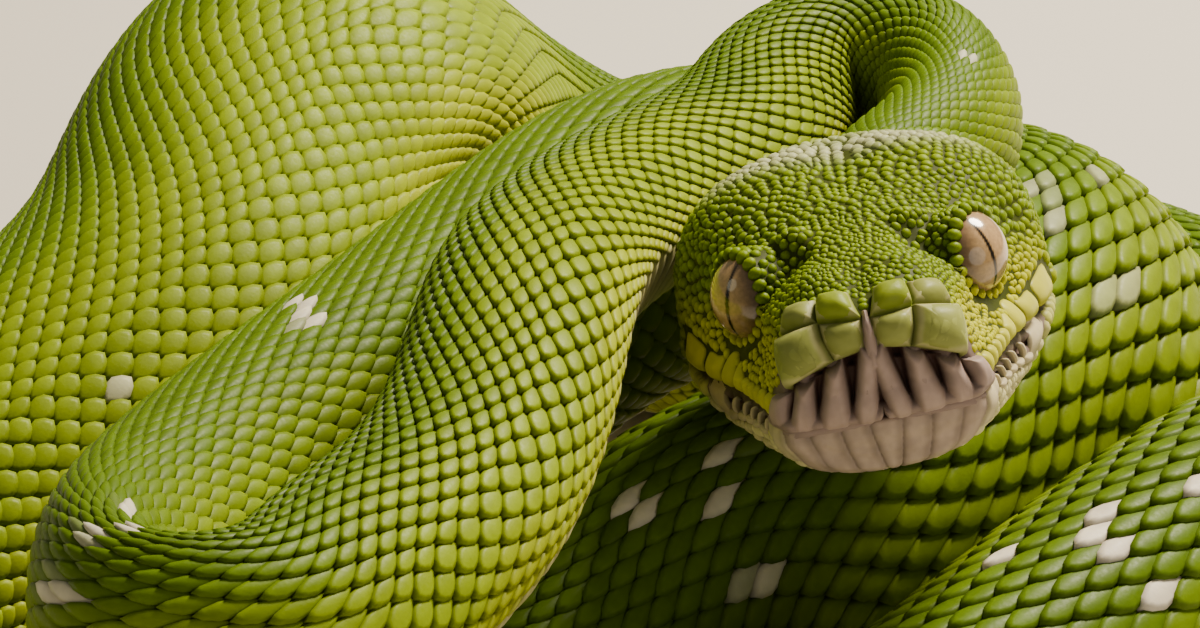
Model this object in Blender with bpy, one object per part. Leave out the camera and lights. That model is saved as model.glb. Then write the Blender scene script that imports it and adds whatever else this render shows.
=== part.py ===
"""Coiled green tree python, life size, as a still museum model.

One route runs from the neck to the tail tip.  Its stations give the middle of the body, the lean of the
spine and the body's half width and half height.  The head, the lower jaw and the eyes are separate solids,
and the body is parted into short lengths by thin cuts square to the route.
"""

import math

import bmesh
import bpy
import numpy as np
from mathutils import Matrix, Vector

MM = 0.001
OBJECT_NAME = "green_tree_python"

# --- sizes of the whole, in millimetres -------------------------------------------------------------------
HEAD_HEIGHT = 72.5        # middle of the head above the floor
PILE_CENTRE = (-36.8, 21.2)   # middle of the coils seen from above, placed over the origin
CUT_GAP = 0.3             # saw cut between two lengths
FLOOR_BITE = 0.5          # how far the round belly is pressed flat on the floor
BODY_SIDES = 16
BELLY_FLATNESS = 0.93     # belly depth as a share of the half height
BEND_LIMIT = 0.78         # the inner side of a bend keeps inside this share of the bend's radius

# --- the head, in its own axes: x to its left side, y to the nape, z up ------------------------------------
HEAD_ROLL = math.radians(11.6)
HEAD_YAW = math.radians(5.0)
HEAD_SIDES = 24
# y, half width, level of the widest point, top, bottom, squareness above it and below it
HEAD_SECTIONS = (
    (-27.6, 6.4, 0.5, 6.6, -3.6, 2.3, 2.2),
    (-26.9, 8.2, 0.0, 8.6, -5.2, 2.4, 2.3),
    (-25.0, 9.5, -1.5, 10.0, -6.4, 2.5, 2.3),
    (-20.0, 11.0, -3.0, 10.7, -8.0, 2.3, 2.3),
    (-14.0, 12.6, -4.5, 10.5, -9.8, 2.1, 2.4),
    (-7.0, 14.8, -5.5, 10.2, -11.6, 2.1, 2.6),
    (0.0, 16.7, -6.0, 9.9, -13.4, 2.3, 2.7),
    (6.0, 18.0, -5.5, 9.6, -14.6, 2.5, 2.7),
    (11.0, 18.0, -4.5, 9.2, -15.0, 2.7, 2.5),
    (15.5, 16.4, -3.5, 8.4, -14.4, 2.7, 2.3),
    (19.6, 12.6, -2.5, 7.2, -12.4, 2.3, 2.1),
    (22.0, 9.2, -1.5, 6.6, -10.4, 2.0, 2.0),
)
# y, z of the closed mouth from the lip's front to its corner
MOUTH_LINE = ((-34.0, 0.2), (-26.0, 0.0), (-20.0, -0.7), (-13.0, -2.4), (-6.0, -4.4), (2.0, -6.6), (9.0, -8.0))
EYE_RADIUS = 4.3
EYE_CENTRE = (9.6, -8.0, 4.9)
SOCKET_GAP = 0.3

# --- the body: name, x, y, height above the floor, lean of the spine in degrees, half width, half height ----
FLOOR = None              # a height of FLOOR rests the length on the floor
STATIONS = (
    ("nape_in", 0.8, 17.0, 70.3, 0, 7.2, 7.6),
    ("nape", 1.6, 25.5, 70.5, 0, 7.2, 7.6),
    ("neck_a", 5.8, 35.0, 70.5, -5, 7.2, 7.8),
    ("neck_b", 8.8, 46.0, 71.0, -5, 7.4, 8.0),
    ("neck_c", 6.0, 55.5, 72.0, 5, 7.5, 8.2),
    ("neck_d", -2.5, 58.5, 71.5, 18, 7.6, 8.4),
    ("neck_e", -9.5, 52.5, 70.0, 34, 7.8, 8.7),
    ("fore_a", -13.0, 43.0, 68.5, 48, 8.0, 9.0),
    ("fore_b", -20.3, 31.0, 68.3, 58, 8.1, 9.3),
    ("fore_c", -28.2, 13.5, 69.5, 65, 8.4, 9.7),
    ("fore_d", -31.3, -3.0, 69.7, 65, 9.0, 10.5),
    ("fore_e", -33.0, -18.0, 66.5, 58, 9.2, 10.7),
    ("fore_f", -37.2, -33.2, 63.4, 46, 9.3, 11.1),
    ("fore_g", -43.6, -45.0, 61.8, 34, 9.1, 11.6),
    ("fore_h", -48.0, -51.6, 60.6, 20, 8.7, 12.1),
    ("turn_a", -54.4, -53.8, 59.6, 6, 8.3, 12.7),
    ("turn_b", -60.6, -50.8, 58.6, -8, 8.2, 13.2),
    ("turn_c", -63.6, -43.6, 57.2, -16, 8.5, 13.6),
    ("turn_d", -64.0, -33.0, 55.0, -18, 9.4, 14.1),
    ("inner_a", -61.6, -17.5, 52.0, -14, 11.2, 14.7),
    ("inner_b", -56.0, 0.0, 50.0, -9, 12.6, 15.5),
    ("inner_c", -47.5, 19.0, 49.3, -6, 13.4, 16.2),
    ("inner_d", -38.5, 38.0, 49.3, -6, 13.8, 16.8),
    ("inner_e", -29.0, 56.0, 49.5, -3, 14.2, 17.2),
    ("inner_f", -19.0, 70.0, 47.5, 3, 14.8, 17.8),
    ("hump_a", -6.0, 78.5, 44.0, 12, 15.2, 18.2),
    ("hump_b", 8.0, 76.0, 41.5, 20, 15.6, 18.7),
    ("hump_c", 19.0, 64.5, 43.3, 26, 16.0, 19.2),
    ("hump_d", 20.5, 49.5, 44.5, 28, 16.4, 19.5),
    ("under_a", 12.0, 35.0, 42.0, 8, 16.8, 20.0),
    ("under_b", 0.2, 21.6, 37.0, -8, 17.2, 20.4),
    ("under_c", -15.8, 10.0, 33.2, -18, 17.6, 20.8),
    ("under_d", -31.0, -5.4, 24.4, -22, 18.0, 20.8),
    ("under_e", -51.0, -22.0, FLOOR, -18, 18.3, 20.3),
    ("left_a", -74.0, -32.5, FLOOR, -16, 18.5, 20.0),
    ("left_b", -96.0, -28.0, 20.5, -22, 18.6, 20.3),
    ("left_c", -106.0, -8.0, 25.5, -38, 18.6, 20.8),
    ("left_d", -97.5, 14.0, 31.0, -52, 18.7, 21.2),
    ("arch_a", -82.0, 34.0, 37.5, -58, 18.8, 21.5),
    ("arch_b", -71.5, 54.0, 43.5, -60, 18.9, 21.8),
    ("arch_c", -67.5, 73.0, 49.5, -60, 19.0, 22.0),
    ("arch_d", -61.5, 90.0, 52.0, -55, 19.0, 22.0),
    ("back_a", -53.0, 107.0, 41.0, -40, 19.2, 21.6),
    ("back_b", -38.0, 118.5, 23.5, -20, 19.4, 20.6),
    ("back_c", -10.0, 121.0, FLOOR, -8, 19.6, 20.0),
    ("back_d", 20.0, 108.0, FLOOR, 0, 19.8, 19.5),
    ("back_e", 44.0, 88.0, FLOOR, 0, 19.8, 19.5),
    ("right_a", 59.0, 65.0, 20.0, -2, 19.3, 20.0),
    ("right_b", 60.0, 43.0, 29.0, -6, 18.5, 20.5),
    ("right_c", 47.0, 18.5, 37.8, -10, 18.0, 20.3),
    ("right_d", 27.8, -6.4, 38.6, -12, 17.5, 20.0),
    ("right_e", 7.8, -28.8, 33.3, -12, 17.0, 19.3),
    ("front_a", -14.0, -49.0, 25.0, -8, 16.0, 18.2),
    ("front_b", -34.0, -70.0, FLOOR, 0, 15.0, 16.6),
    ("front_c", -62.0, -83.0, FLOOR, 0, 13.8, 15.2),
    ("front_d", -92.0, -84.0, FLOOR, 0, 12.8, 14.0),
    ("front_e", -120.0, -70.0, FLOOR, 0, 11.8, 12.8),
    ("vent", -138.0, -44.0, FLOOR, 0, 10.8, 11.6),
    ("tail_a", -144.0, -14.0, FLOOR, 0, 9.4, 10.0),
    ("tail_b", -138.0, 16.0, FLOOR, 0, 8.0, 8.5),
    ("tail_c", -122.0, 42.0, FLOOR, 0, 6.5, 7.0),
    ("tail_d", -98.0, 60.0, FLOOR, 0, 5.0, 5.5),
    ("tail_e", -72.0, 70.0, FLOOR, 0, 3.7, 4.1),
    ("tail_f", -46.0, 74.0, FLOOR, 0, 2.5, 2.9),
    ("tail_tip", -22.0, 70.0, 1.6, 0, 1.4, 1.8),
)
# node, first station, last station
LENGTHS = (
    ("neck_01", "nape", "neck_b"),
    ("neck_02", "neck_b", "fore_a"),
    ("trunk_01", "fore_a", "fore_d"),
    ("trunk_02", "fore_d", "fore_g"),
    ("trunk_03", "fore_g", "turn_d"),
    ("trunk_04", "turn_d", "inner_b"),
    ("trunk_05", "inner_b", "inner_d"),
    ("trunk_06", "inner_d", "inner_f"),
    ("trunk_07", "inner_f", "hump_b"),
    ("trunk_08", "hump_b", "hump_d"),
    ("trunk_09", "hump_d", "under_b"),
    ("trunk_10", "under_b", "under_d"),
    ("trunk_11", "under_d", "left_a"),
    ("trunk_12", "left_a", "left_c"),
    ("trunk_13", "left_c", "arch_a"),
    ("trunk_14", "arch_a", "arch_c"),
    ("trunk_15", "arch_c", "back_a"),
    ("trunk_16", "back_a", "back_c"),
    ("trunk_17", "back_c", "back_e"),
    ("trunk_18", "back_e", "right_b"),
    ("trunk_19", "right_b", "right_d"),
    ("trunk_20", "right_d", "front_a"),
    ("trunk_21", "front_a", "front_c"),
    ("trunk_22", "front_c", "front_e"),
    ("trunk_23", "front_e", "vent"),
    ("tail_01", "vent", "tail_b"),
    ("tail_02", "tail_b", "tail_d"),
    ("tail_03", "tail_d", "tail_f"),
    ("tail_04", "tail_f", "tail_tip"),
)

GREEN = (0.13, 0.25, 0.012, 1.0)
LIP_GREEN = (0.30, 0.30, 0.05, 1.0)
EYE_CREAM = (0.42, 0.30, 0.15, 1.0)


def resting_height(half_height):
    """Height of the body's middle when its belly is pressed FLOOR_BITE into the floor."""
    return BELLY_FLATNESS * half_height - FLOOR_BITE


def station_table():
    """Stations as numbers: x, y, z, lean, half width, half height."""
    rows = []
    for name, x, y, z, lean, width, height in STATIONS:
        if z is FLOOR:
            z = resting_height(height)
        rows.append((x, y, z, lean, width, height))
    return np.array(rows, dtype=float)


def natural_spline(knots, values, at):
    """Natural cubic spline through values at knots."""
    count = len(knots)
    step = np.diff(knots)
    system = np.eye(count)
    right = np.zeros((count, values.shape[1]))
    for i in range(1, count - 1):
        system[i, i - 1:i + 2] = step[i - 1], 2 * (step[i - 1] + step[i]), step[i]
        right[i] = 6 * ((values[i + 1] - values[i]) / step[i] - (values[i] - values[i - 1]) / step[i - 1])
    bend = np.linalg.solve(system, right)
    k = np.clip(np.searchsorted(knots, at, side="right") - 1, 0, count - 2)
    width = step[k][:, None]
    ahead = (knots[k + 1] - at)[:, None]
    past = (at - knots[k])[:, None]
    curve = (bend[k] * ahead ** 3 + bend[k + 1] * past ** 3) / (6 * width)
    curve += (values[k] / width - bend[k] * width / 6) * ahead
    return curve + (values[k + 1] / width - bend[k + 1] * width / 6) * past


def unit(vectors):
    """Rows scaled to length one."""
    return vectors / np.linalg.norm(vectors, axis=1)[:, None]


class Route:
    """The body's middle line, its spine direction, side direction, sizes and bend, every millimetre."""

    def __init__(self, step=1.0):
        table = station_table()
        chords = np.linalg.norm(np.diff(table[:, :3], axis=0), axis=1)
        knots = np.concatenate([[0.0], np.cumsum(chords ** 0.75)])
        fine = np.linspace(0.0, knots[-1], 9000)
        line = natural_spline(knots, table[:, :3], fine)
        run = np.concatenate([[0.0], np.cumsum(np.linalg.norm(np.diff(line, axis=0), axis=1))])
        self.length = np.arange(0.0, run[-1], step)
        at = np.interp(self.length, run, fine)
        self.middle = natural_spline(knots, table[:, :3], at)
        self.knot_length = np.interp(knots, fine, run)
        lean, self.width, self.height = (self.ease(table[:, c]) for c in (3, 4, 5))
        along = unit(np.gradient(self.middle, self.length, axis=0))
        up = unit(np.array([0.0, 0.0, 1.0]) - along * along[:, 2:3])
        side = np.cross(along, up)
        turn = np.radians(lean)[:, None]
        self.along = along
        self.spine = np.cos(turn) * up + np.sin(turn) * side
        self.side = np.cos(turn) * side - np.sin(turn) * up
        self.bend = self.smooth(np.gradient(along, self.length, axis=0), 5)

    def ease(self, values):
        """Values between stations, eased so that sizes and lean change smoothly."""
        plain = np.interp(self.length, self.knot_length, values)
        return self.smooth(plain[:, None], 13)[:, 0]

    def smooth(self, values, count):
        """Running mean over count samples, twice, ends held."""
        for _ in range(2):
            padded = np.pad(values, ((count // 2, count // 2), (0, 0)), mode="edge")
            total = np.cumsum(np.vstack([np.zeros(values.shape[1]), padded]), axis=0)
            values = (total[count:] - total[:-count]) / count
        return values

    def sample(self, at):
        """Middle, along, spine, side, bend, width and height at one length."""
        pick = [np.array([np.interp(at, self.length, rows[:, c]) for c in range(3)])
                for rows in (self.middle, self.along, self.spine, self.side, self.bend)]
        width = np.interp(at, self.length, self.width)
        height = np.interp(at, self.length, self.height)
        return (*pick, width, height)

    def station_length(self, name):
        """Length along the route at a named station."""
        return self.knot_length[[row[0] for row in STATIONS].index(name)]


def section_outline(angles):
    """Unit section: narrow along the spine, widest low down, flattened at the belly."""
    cosine = np.cos(angles)
    across = np.sin(angles) * (1.0 - 0.14 * cosine)
    belly = -np.tanh(1.35 * np.clip(-cosine, 0.0, 1.0)) / math.tanh(1.35) * BELLY_FLATNESS
    return across, np.where(cosine > 0.0, cosine, belly)


def ease_into_bend(offsets, bend):
    """Keep the inner side of a bend from crossing itself."""
    strength = np.linalg.norm(bend)
    if strength < 1e-6:
        return offsets
    inward = bend / strength
    limit = BEND_LIMIT / strength
    reach = offsets @ inward
    soft = 0.6 * limit + 0.4 * limit * np.tanh((reach - 0.6 * limit) / (0.4 * limit))
    return offsets + np.where(reach > 0.6 * limit, soft - reach, 0.0)[:, None] * inward


def body_ring(route, at, sides, shift=0.0):
    """Points round the body at one length, never below the floor."""
    middle, along, spine, side, bend, width, height = route.sample(at)
    angles = np.linspace(0.0, 2.0 * math.pi, sides, endpoint=False)
    across, upward = section_outline(angles)
    offsets = across[:, None] * width * side + upward[:, None] * height * spine
    ring = middle + shift * along + ease_into_bend(offsets, bend)
    ring[:, 2] = np.maximum(ring[:, 2], 0.0)
    return ring


def to_world(points):
    """Millimetres about the head's foot to metres about the pile's middle."""
    moved = points - np.array([PILE_CENTRE[0], PILE_CENTRE[1], 0.0])
    return [Vector(row) for row in moved * MM]


def loft(rings):
    """Closed surface through rings of equal count, with flat ends."""
    bm = bmesh.new()
    rows = [[bm.verts.new(point) for point in to_world(ring)] for ring in rings]
    count = len(rows[0])
    for near, far in zip(rows, rows[1:]):
        for i in range(count):
            j = (i + 1) % count
            bm.faces.new((near[i], near[j], far[j], far[i]))
    bm.faces.new(rows[0][::-1])
    bm.faces.new(rows[-1])
    bmesh.ops.triangulate(bm, faces=bm.faces[:])
    bmesh.ops.recalc_face_normals(bm, faces=bm.faces[:])
    return bm


def principled(name, colour, roughness):
    """A Principled material."""
    material = bpy.data.materials.new(name)
    material.use_nodes = True
    shader = material.node_tree.nodes["Principled BSDF"]
    shader.inputs["Base Color"].default_value = colour
    shader.inputs["Roughness"].default_value = roughness
    shader.inputs["Metallic"].default_value = 0.0
    material.diffuse_color = colour
    return material


def add_object(name, bm, collection, material):
    """Turn a bmesh into a named, smooth-shaded object."""
    mesh = bpy.data.meshes.new(name)
    bm.to_mesh(mesh)
    bm.free()
    mesh.shade_smooth()
    mesh.set_sharp_from_angle(angle=math.radians(40))
    item = bpy.data.objects.new(name, mesh)
    collection.objects.link(item)
    if material is not None:
        mesh.materials.append(material)
    return item


def cutter(name, bm, collection):
    """A hidden wire object for a Boolean."""
    item = add_object(name, bm, collection, None)
    item.hide_render = True
    item.display_type = "WIRE"
    return item


def add_boolean(item, other, operation):
    """One exact Boolean on an object."""
    modifier = item.modifiers.new(operation.lower(), "BOOLEAN")
    modifier.operation = operation
    modifier.solver = "EXACT"
    modifier.object = other


def head_matrix():
    """Head axes to the pile's millimetre axes."""
    turn = Matrix.Rotation(HEAD_YAW, 3, "Z") @ Matrix.Rotation(-HEAD_ROLL, 3, "Y")
    return np.array(turn)


def head_to_pile(points):
    """Head points to millimetres above the floor."""
    return np.asarray(points) @ head_matrix().T + np.array([0.0, 0.0, HEAD_HEIGHT])


def head_ring(section):
    """One ring of the head, rounded-square above and below its widest level."""
    y, width, widest, top, bottom, crown, jowl = section
    angles = np.linspace(0.0, 2.0 * math.pi, HEAD_SIDES, endpoint=False)
    cosine, sine = np.cos(angles), np.sin(angles)
    power = np.where(cosine > 0.0, 2.0 / crown, 2.0 / jowl)
    x = width * np.sign(sine) * np.abs(sine) ** power
    reach = np.where(cosine > 0.0, top - widest, widest - bottom)
    z = widest + reach * np.sign(cosine) * np.abs(cosine) ** power
    return head_to_pile(np.column_stack([x, np.full(HEAD_SIDES, y), z]))


def head_body(route):
    """Snout, crown and jaw bulges lofted into the nape."""
    rings = [head_ring(section) for section in HEAD_SECTIONS]
    nape = route.station_length("nape")
    rings.append(body_ring(route, nape, HEAD_SIDES, -CUT_GAP))
    return loft(rings)


def mouth_block(drop):
    """Everything under the mouth line, lowered by drop, as a block."""
    outline = [(y, z - drop) for y, z in MOUTH_LINE]
    last = MOUTH_LINE[-1][0] - drop
    outline[-1] = (last, outline[-1][1])
    outline += [(last, -40.0), (-34.0, -40.0)]
    rings = [head_to_pile([(x, y, z) for y, z in outline]) for x in (-30.0, 30.0)]
    return loft(rings)


def ball(centre, radius, segments, rings):
    """A sphere in the head's axes."""
    bm = bmesh.new()
    bmesh.ops.create_uvsphere(bm, u_segments=segments, v_segments=rings, radius=radius * MM)
    turn = Matrix(head_matrix().tolist()).to_4x4() @ Matrix.Rotation(math.pi / 2, 4, "Y")
    bmesh.ops.transform(bm, matrix=turn, verts=bm.verts[:])
    place = to_world(head_to_pile([centre]))[0]
    bmesh.ops.translate(bm, vec=place, verts=bm.verts[:])
    bmesh.ops.triangulate(bm, faces=bm.faces[:])
    return bm


def build_head(route, parts, cutters, materials):
    """Upper head, lower jaw and both eyes."""
    head = add_object("head", head_body(route), parts, materials["skin"])
    jaw = add_object("lower_jaw", head_body(route), parts, materials["lip"])
    below = cutter("mouth_cut", mouth_block(0.0), cutters)
    inside = cutter("jaw_keep", mouth_block(CUT_GAP), cutters)
    add_boolean(head, below, "DIFFERENCE")
    add_boolean(jaw, inside, "INTERSECT")
    for side, sign in (("right", -1.0), ("left", 1.0)):
        centre = (sign * EYE_CENTRE[0], EYE_CENTRE[1], EYE_CENTRE[2])
        add_object("eye_" + side, ball(centre, EYE_RADIUS, 14, 9), parts, materials["eye"])
        socket = cutter("socket_" + side, ball(centre, EYE_RADIUS + SOCKET_GAP, 14, 9), cutters)
        add_boolean(head, socket, "DIFFERENCE")


def ring_lengths(route, first, last):
    """Lengths of the rings of one part, closer together where the body bends."""
    at = [first]
    while at[-1] < last:
        strength = np.linalg.norm(route.sample(at[-1])[4])
        size = route.sample(at[-1])[6]
        spacing = min(0.42 / max(strength, 1e-6), 0.62 * size, 9.0)
        at.append(at[-1] + max(spacing, 2.8))
    scale = (last - first) / (at[-1] - first)
    return [first + (value - first) * scale for value in at]


def cut_width(route, name):
    """Cut along the middle line that leaves CUT_GAP on the inner side of a bend; none at the tip."""
    if name == "tail_tip":
        return 0.0
    sample = route.sample(route.station_length(name))
    return CUT_GAP / max(0.35, 1.0 - np.linalg.norm(sample[4]) * sample[5])


def build_body(route, parts, materials):
    """The neck, trunk and tail lengths."""
    for name, start, end in LENGTHS:
        first = route.station_length(start)
        last = route.station_length(end) - cut_width(route, end)
        sides = 12 if name.startswith("tail") else BODY_SIDES
        rings = [body_ring(route, at, sides) for at in ring_lengths(route, first, last)]
        add_object(name, loft(rings), parts, materials["skin"])


def clear_scene():
    """Remove every object of the scene."""
    for item in list(bpy.data.objects):
        bpy.data.objects.remove(item, do_unlink=True)


def new_collection(name):
    """A collection linked to the scene."""
    collection = bpy.data.collections.new(name)
    bpy.context.scene.collection.children.link(collection)
    return collection


def main():
    """Build every part."""
    clear_scene()
    parts = new_collection(OBJECT_NAME)
    cutters = new_collection("cutters")
    materials = {
        "skin": principled("python_skin", GREEN, 0.45),
        "lip": principled("python_lip", LIP_GREEN, 0.5),
        "eye": principled("python_eye", EYE_CREAM, 0.15),
    }
    route = Route()
    build_head(route, parts, cutters, materials)
    build_body(route, parts, materials)
    bpy.context.view_layer.update()


main()
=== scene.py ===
"""Green tree python coiled at rest, life size, as a museum model.

The skin is one closed surface from the snout to the tail tip.  The coat over it is made of separate solid
scales: grains on the head, plates on the lips and snout, lapped diamonds on the body and broad scutes below.
"""

import math

import bpy
import numpy as np
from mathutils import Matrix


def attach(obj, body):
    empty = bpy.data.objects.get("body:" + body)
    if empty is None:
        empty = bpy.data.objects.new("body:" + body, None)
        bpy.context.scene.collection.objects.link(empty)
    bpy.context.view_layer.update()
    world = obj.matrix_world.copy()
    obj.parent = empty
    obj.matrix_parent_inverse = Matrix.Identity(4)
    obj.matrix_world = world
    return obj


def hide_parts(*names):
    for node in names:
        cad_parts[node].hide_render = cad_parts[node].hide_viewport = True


bl_info = {
    "name": "Coiled Tree Python",
    "version": (1, 0, 0),
    "blender": (4, 5, 0),
    "location": "3D View > Sidebar > Tree Python",
    "description": "Builds the skin, scales, eyes and stage of a coiled green tree python",
    "category": "Add Mesh",
}

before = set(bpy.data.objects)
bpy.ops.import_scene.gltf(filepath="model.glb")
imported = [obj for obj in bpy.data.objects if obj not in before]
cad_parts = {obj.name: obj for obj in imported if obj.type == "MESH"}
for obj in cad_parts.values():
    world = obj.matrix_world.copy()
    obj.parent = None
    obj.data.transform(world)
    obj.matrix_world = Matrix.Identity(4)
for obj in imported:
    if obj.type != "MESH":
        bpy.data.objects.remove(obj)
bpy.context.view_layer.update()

MM = 0.001
GOLDEN_ANGLE = math.pi * (3.0 - math.sqrt(5.0))
TAU = 2.0 * math.pi
FLESH = sorted(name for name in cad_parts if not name.startswith("eye_"))

# --- the form that the CAD solids have, in millimetres above the floor --------------------------------------
HEAD_HEIGHT = 72.5
PILE_CENTRE = (-36.8, 21.2)
FLOOR_BITE = 0.5
BELLY_FLATNESS = 0.93
BEND_LIMIT = 0.78
HEAD_ROLL = math.radians(11.6)
HEAD_YAW = math.radians(5.0)
EYE_CENTRE = (9.6, -8.0, 4.9)
SNOUT_FRONT = -27.6             # y of the flat front of the snout

# y, half width, level of the widest point, top, bottom, squareness above and below it, in the head's own axes
HEAD_SECTIONS = np.array((
    (-27.6, 6.4, 0.5, 6.6, -3.6, 2.3, 2.2),
    (-26.9, 8.2, 0.0, 8.6, -5.2, 2.4, 2.3),
    (-25.0, 9.5, -1.5, 10.0, -6.4, 2.5, 2.3),
    (-20.0, 11.0, -3.0, 10.7, -8.0, 2.3, 2.3),
    (-14.0, 12.6, -4.5, 10.5, -9.8, 2.1, 2.4),
    (-7.0, 14.8, -5.5, 10.2, -11.6, 2.1, 2.6),
    (0.0, 16.7, -6.0, 9.9, -13.4, 2.3, 2.7),
    (6.0, 18.0, -5.5, 9.6, -14.6, 2.5, 2.7),
    (11.0, 18.0, -4.5, 9.2, -15.0, 2.7, 2.5),
    (15.5, 16.4, -3.5, 8.4, -14.4, 2.7, 2.3),
    (19.6, 12.6, -2.5, 7.2, -12.4, 2.3, 2.1),
    (22.0, 9.2, -1.5, 6.6, -10.4, 2.0, 2.0),
))
MOUTH_LINE = np.array(((-34.0, 0.2), (-26.0, 0.0), (-20.0, -0.7), (-13.0, -2.4), (-6.0, -4.4), (2.0, -6.6),
                       (9.0, -8.0)))

# --- the face: plates and pits by azimuth and elevation, in degrees, about a point inside the snout ---------
FACE_MIDDLE = np.array((0.0, -16.0, 0.5))
# kind, thickness, then the corners low inner, low outer, high outer, high inner; each has a twin across
FACE_PLATES = (
    ("rostral", 1.15, (3.4, -2.0), (14.6, -2.0), (5.0, 30.0), (-2.2, 26.0)),
    ("lip", 1.20, (13.8, -2.0), (28.0, -2.0), (20.6, 23.0), (13.6, 24.5)),
    ("lip", 1.10, (27.2, -2.0), (39.2, -2.0), (33.0, 17.0), (26.4, 18.5)),
    ("lip", 0.95, (38.4, -2.0), (50.4, -2.0), (46.4, 13.5), (38.4, 14.5)),
    ("rim", 1.00, (0.0, -3.5), (50.4, -3.5), (50.4, 5.4), (0.0, 5.4)),
    ("nasal", 1.25, (2.2, 28.0), (16.6, 24.5), (24.6, 40.4), (2.0, 41.0)),
    ("nasal", 1.75, (16.8, 24.5), (38.0, 16.5), (51.0, 33.0), (24.8, 40.8)),
    ("leaf", 1.80, (1.6, 40.6), (25.4, 40.8), (33.0, 52.0), (8.0, 54.0)),
    ("nasal", 1.45, (26.0, 41.0), (51.0, 34.0), (57.5, 46.5), (33.5, 52.5)),
)
ROSTRAL_STEM = ("rostral", 1.15, (-4.4, 22.0), (4.4, 22.0), (1.5, 44.0), (-1.5, 44.0))
MENTAL = ("chin", 0.18, (-2.6, -34.0), (2.6, -34.0), (7.6, 1.0), (-7.6, 1.0))
# how far in from a plate's edge its rounding reaches, mm
PLATE_ROUND = {"rostral": 0.8, "lip": 0.8, "rim": 0.5, "nasal": 2.6, "leaf": 2.3, "chin": 0.4,
               "lower_lip": 0.45}
# pits, darkened as painted shade: azimuth and elevation of the upper end and the lower end, half width, depth
FACE_PITS = (
    ((9.4, 24.5), (13.8, 6.0), 1.00, 1.5),
    ((23.4, 19.0), (27.6, 5.0), 0.95, 1.4),
    ((35.6, 14.5), (38.8, 4.0), 0.80, 1.2),
    ((0.0, 9.0), (0.0, 3.0), 1.00, 1.1),
    ((27.0, 40.9), (38.5, 37.2), 0.50, 1.1),
)
SIDE_LABIALS = (50.0, 59.0, 68.0, 77.5, 87.0, 97.0, 108.0, 119.0, 130.0, 140.0)
LOWER_LABIALS = (7.6, 20.0, 32.0, 43.0, 53.0, 63.0, 74.0, 86.0, 98.0, 110.0, 121.0, 132.0)
LOWER_PITS = (63.0, 121.0)
MOUTH_BAND = 24.0         # corners of plates under this elevation are counted up from the mouth
FRONT_REACH = 58.0        # azimuth and elevation at which the joined front plates end
CHIN_FOOT = -44.0         # elevation at which the joined chin plates end
PIT_REACH = 49.0          # azimuth at which the pitted front lip ends

# the ring of the lids: the way it faces on the left side, its radius, and how far the skin stands off the eye
EYE_RADIUS = 4.3
LID_FACING = (0.85, -0.48, 0.22)
LID_RADIUS = 3.62
LID_GAP = 0.32
# the way the left eye looks, and half the width and height of its slit as shares of the eye's radius
GAZE = (0.62, -0.72, 0.30)
SLIT = (0.05, 0.85)

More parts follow.
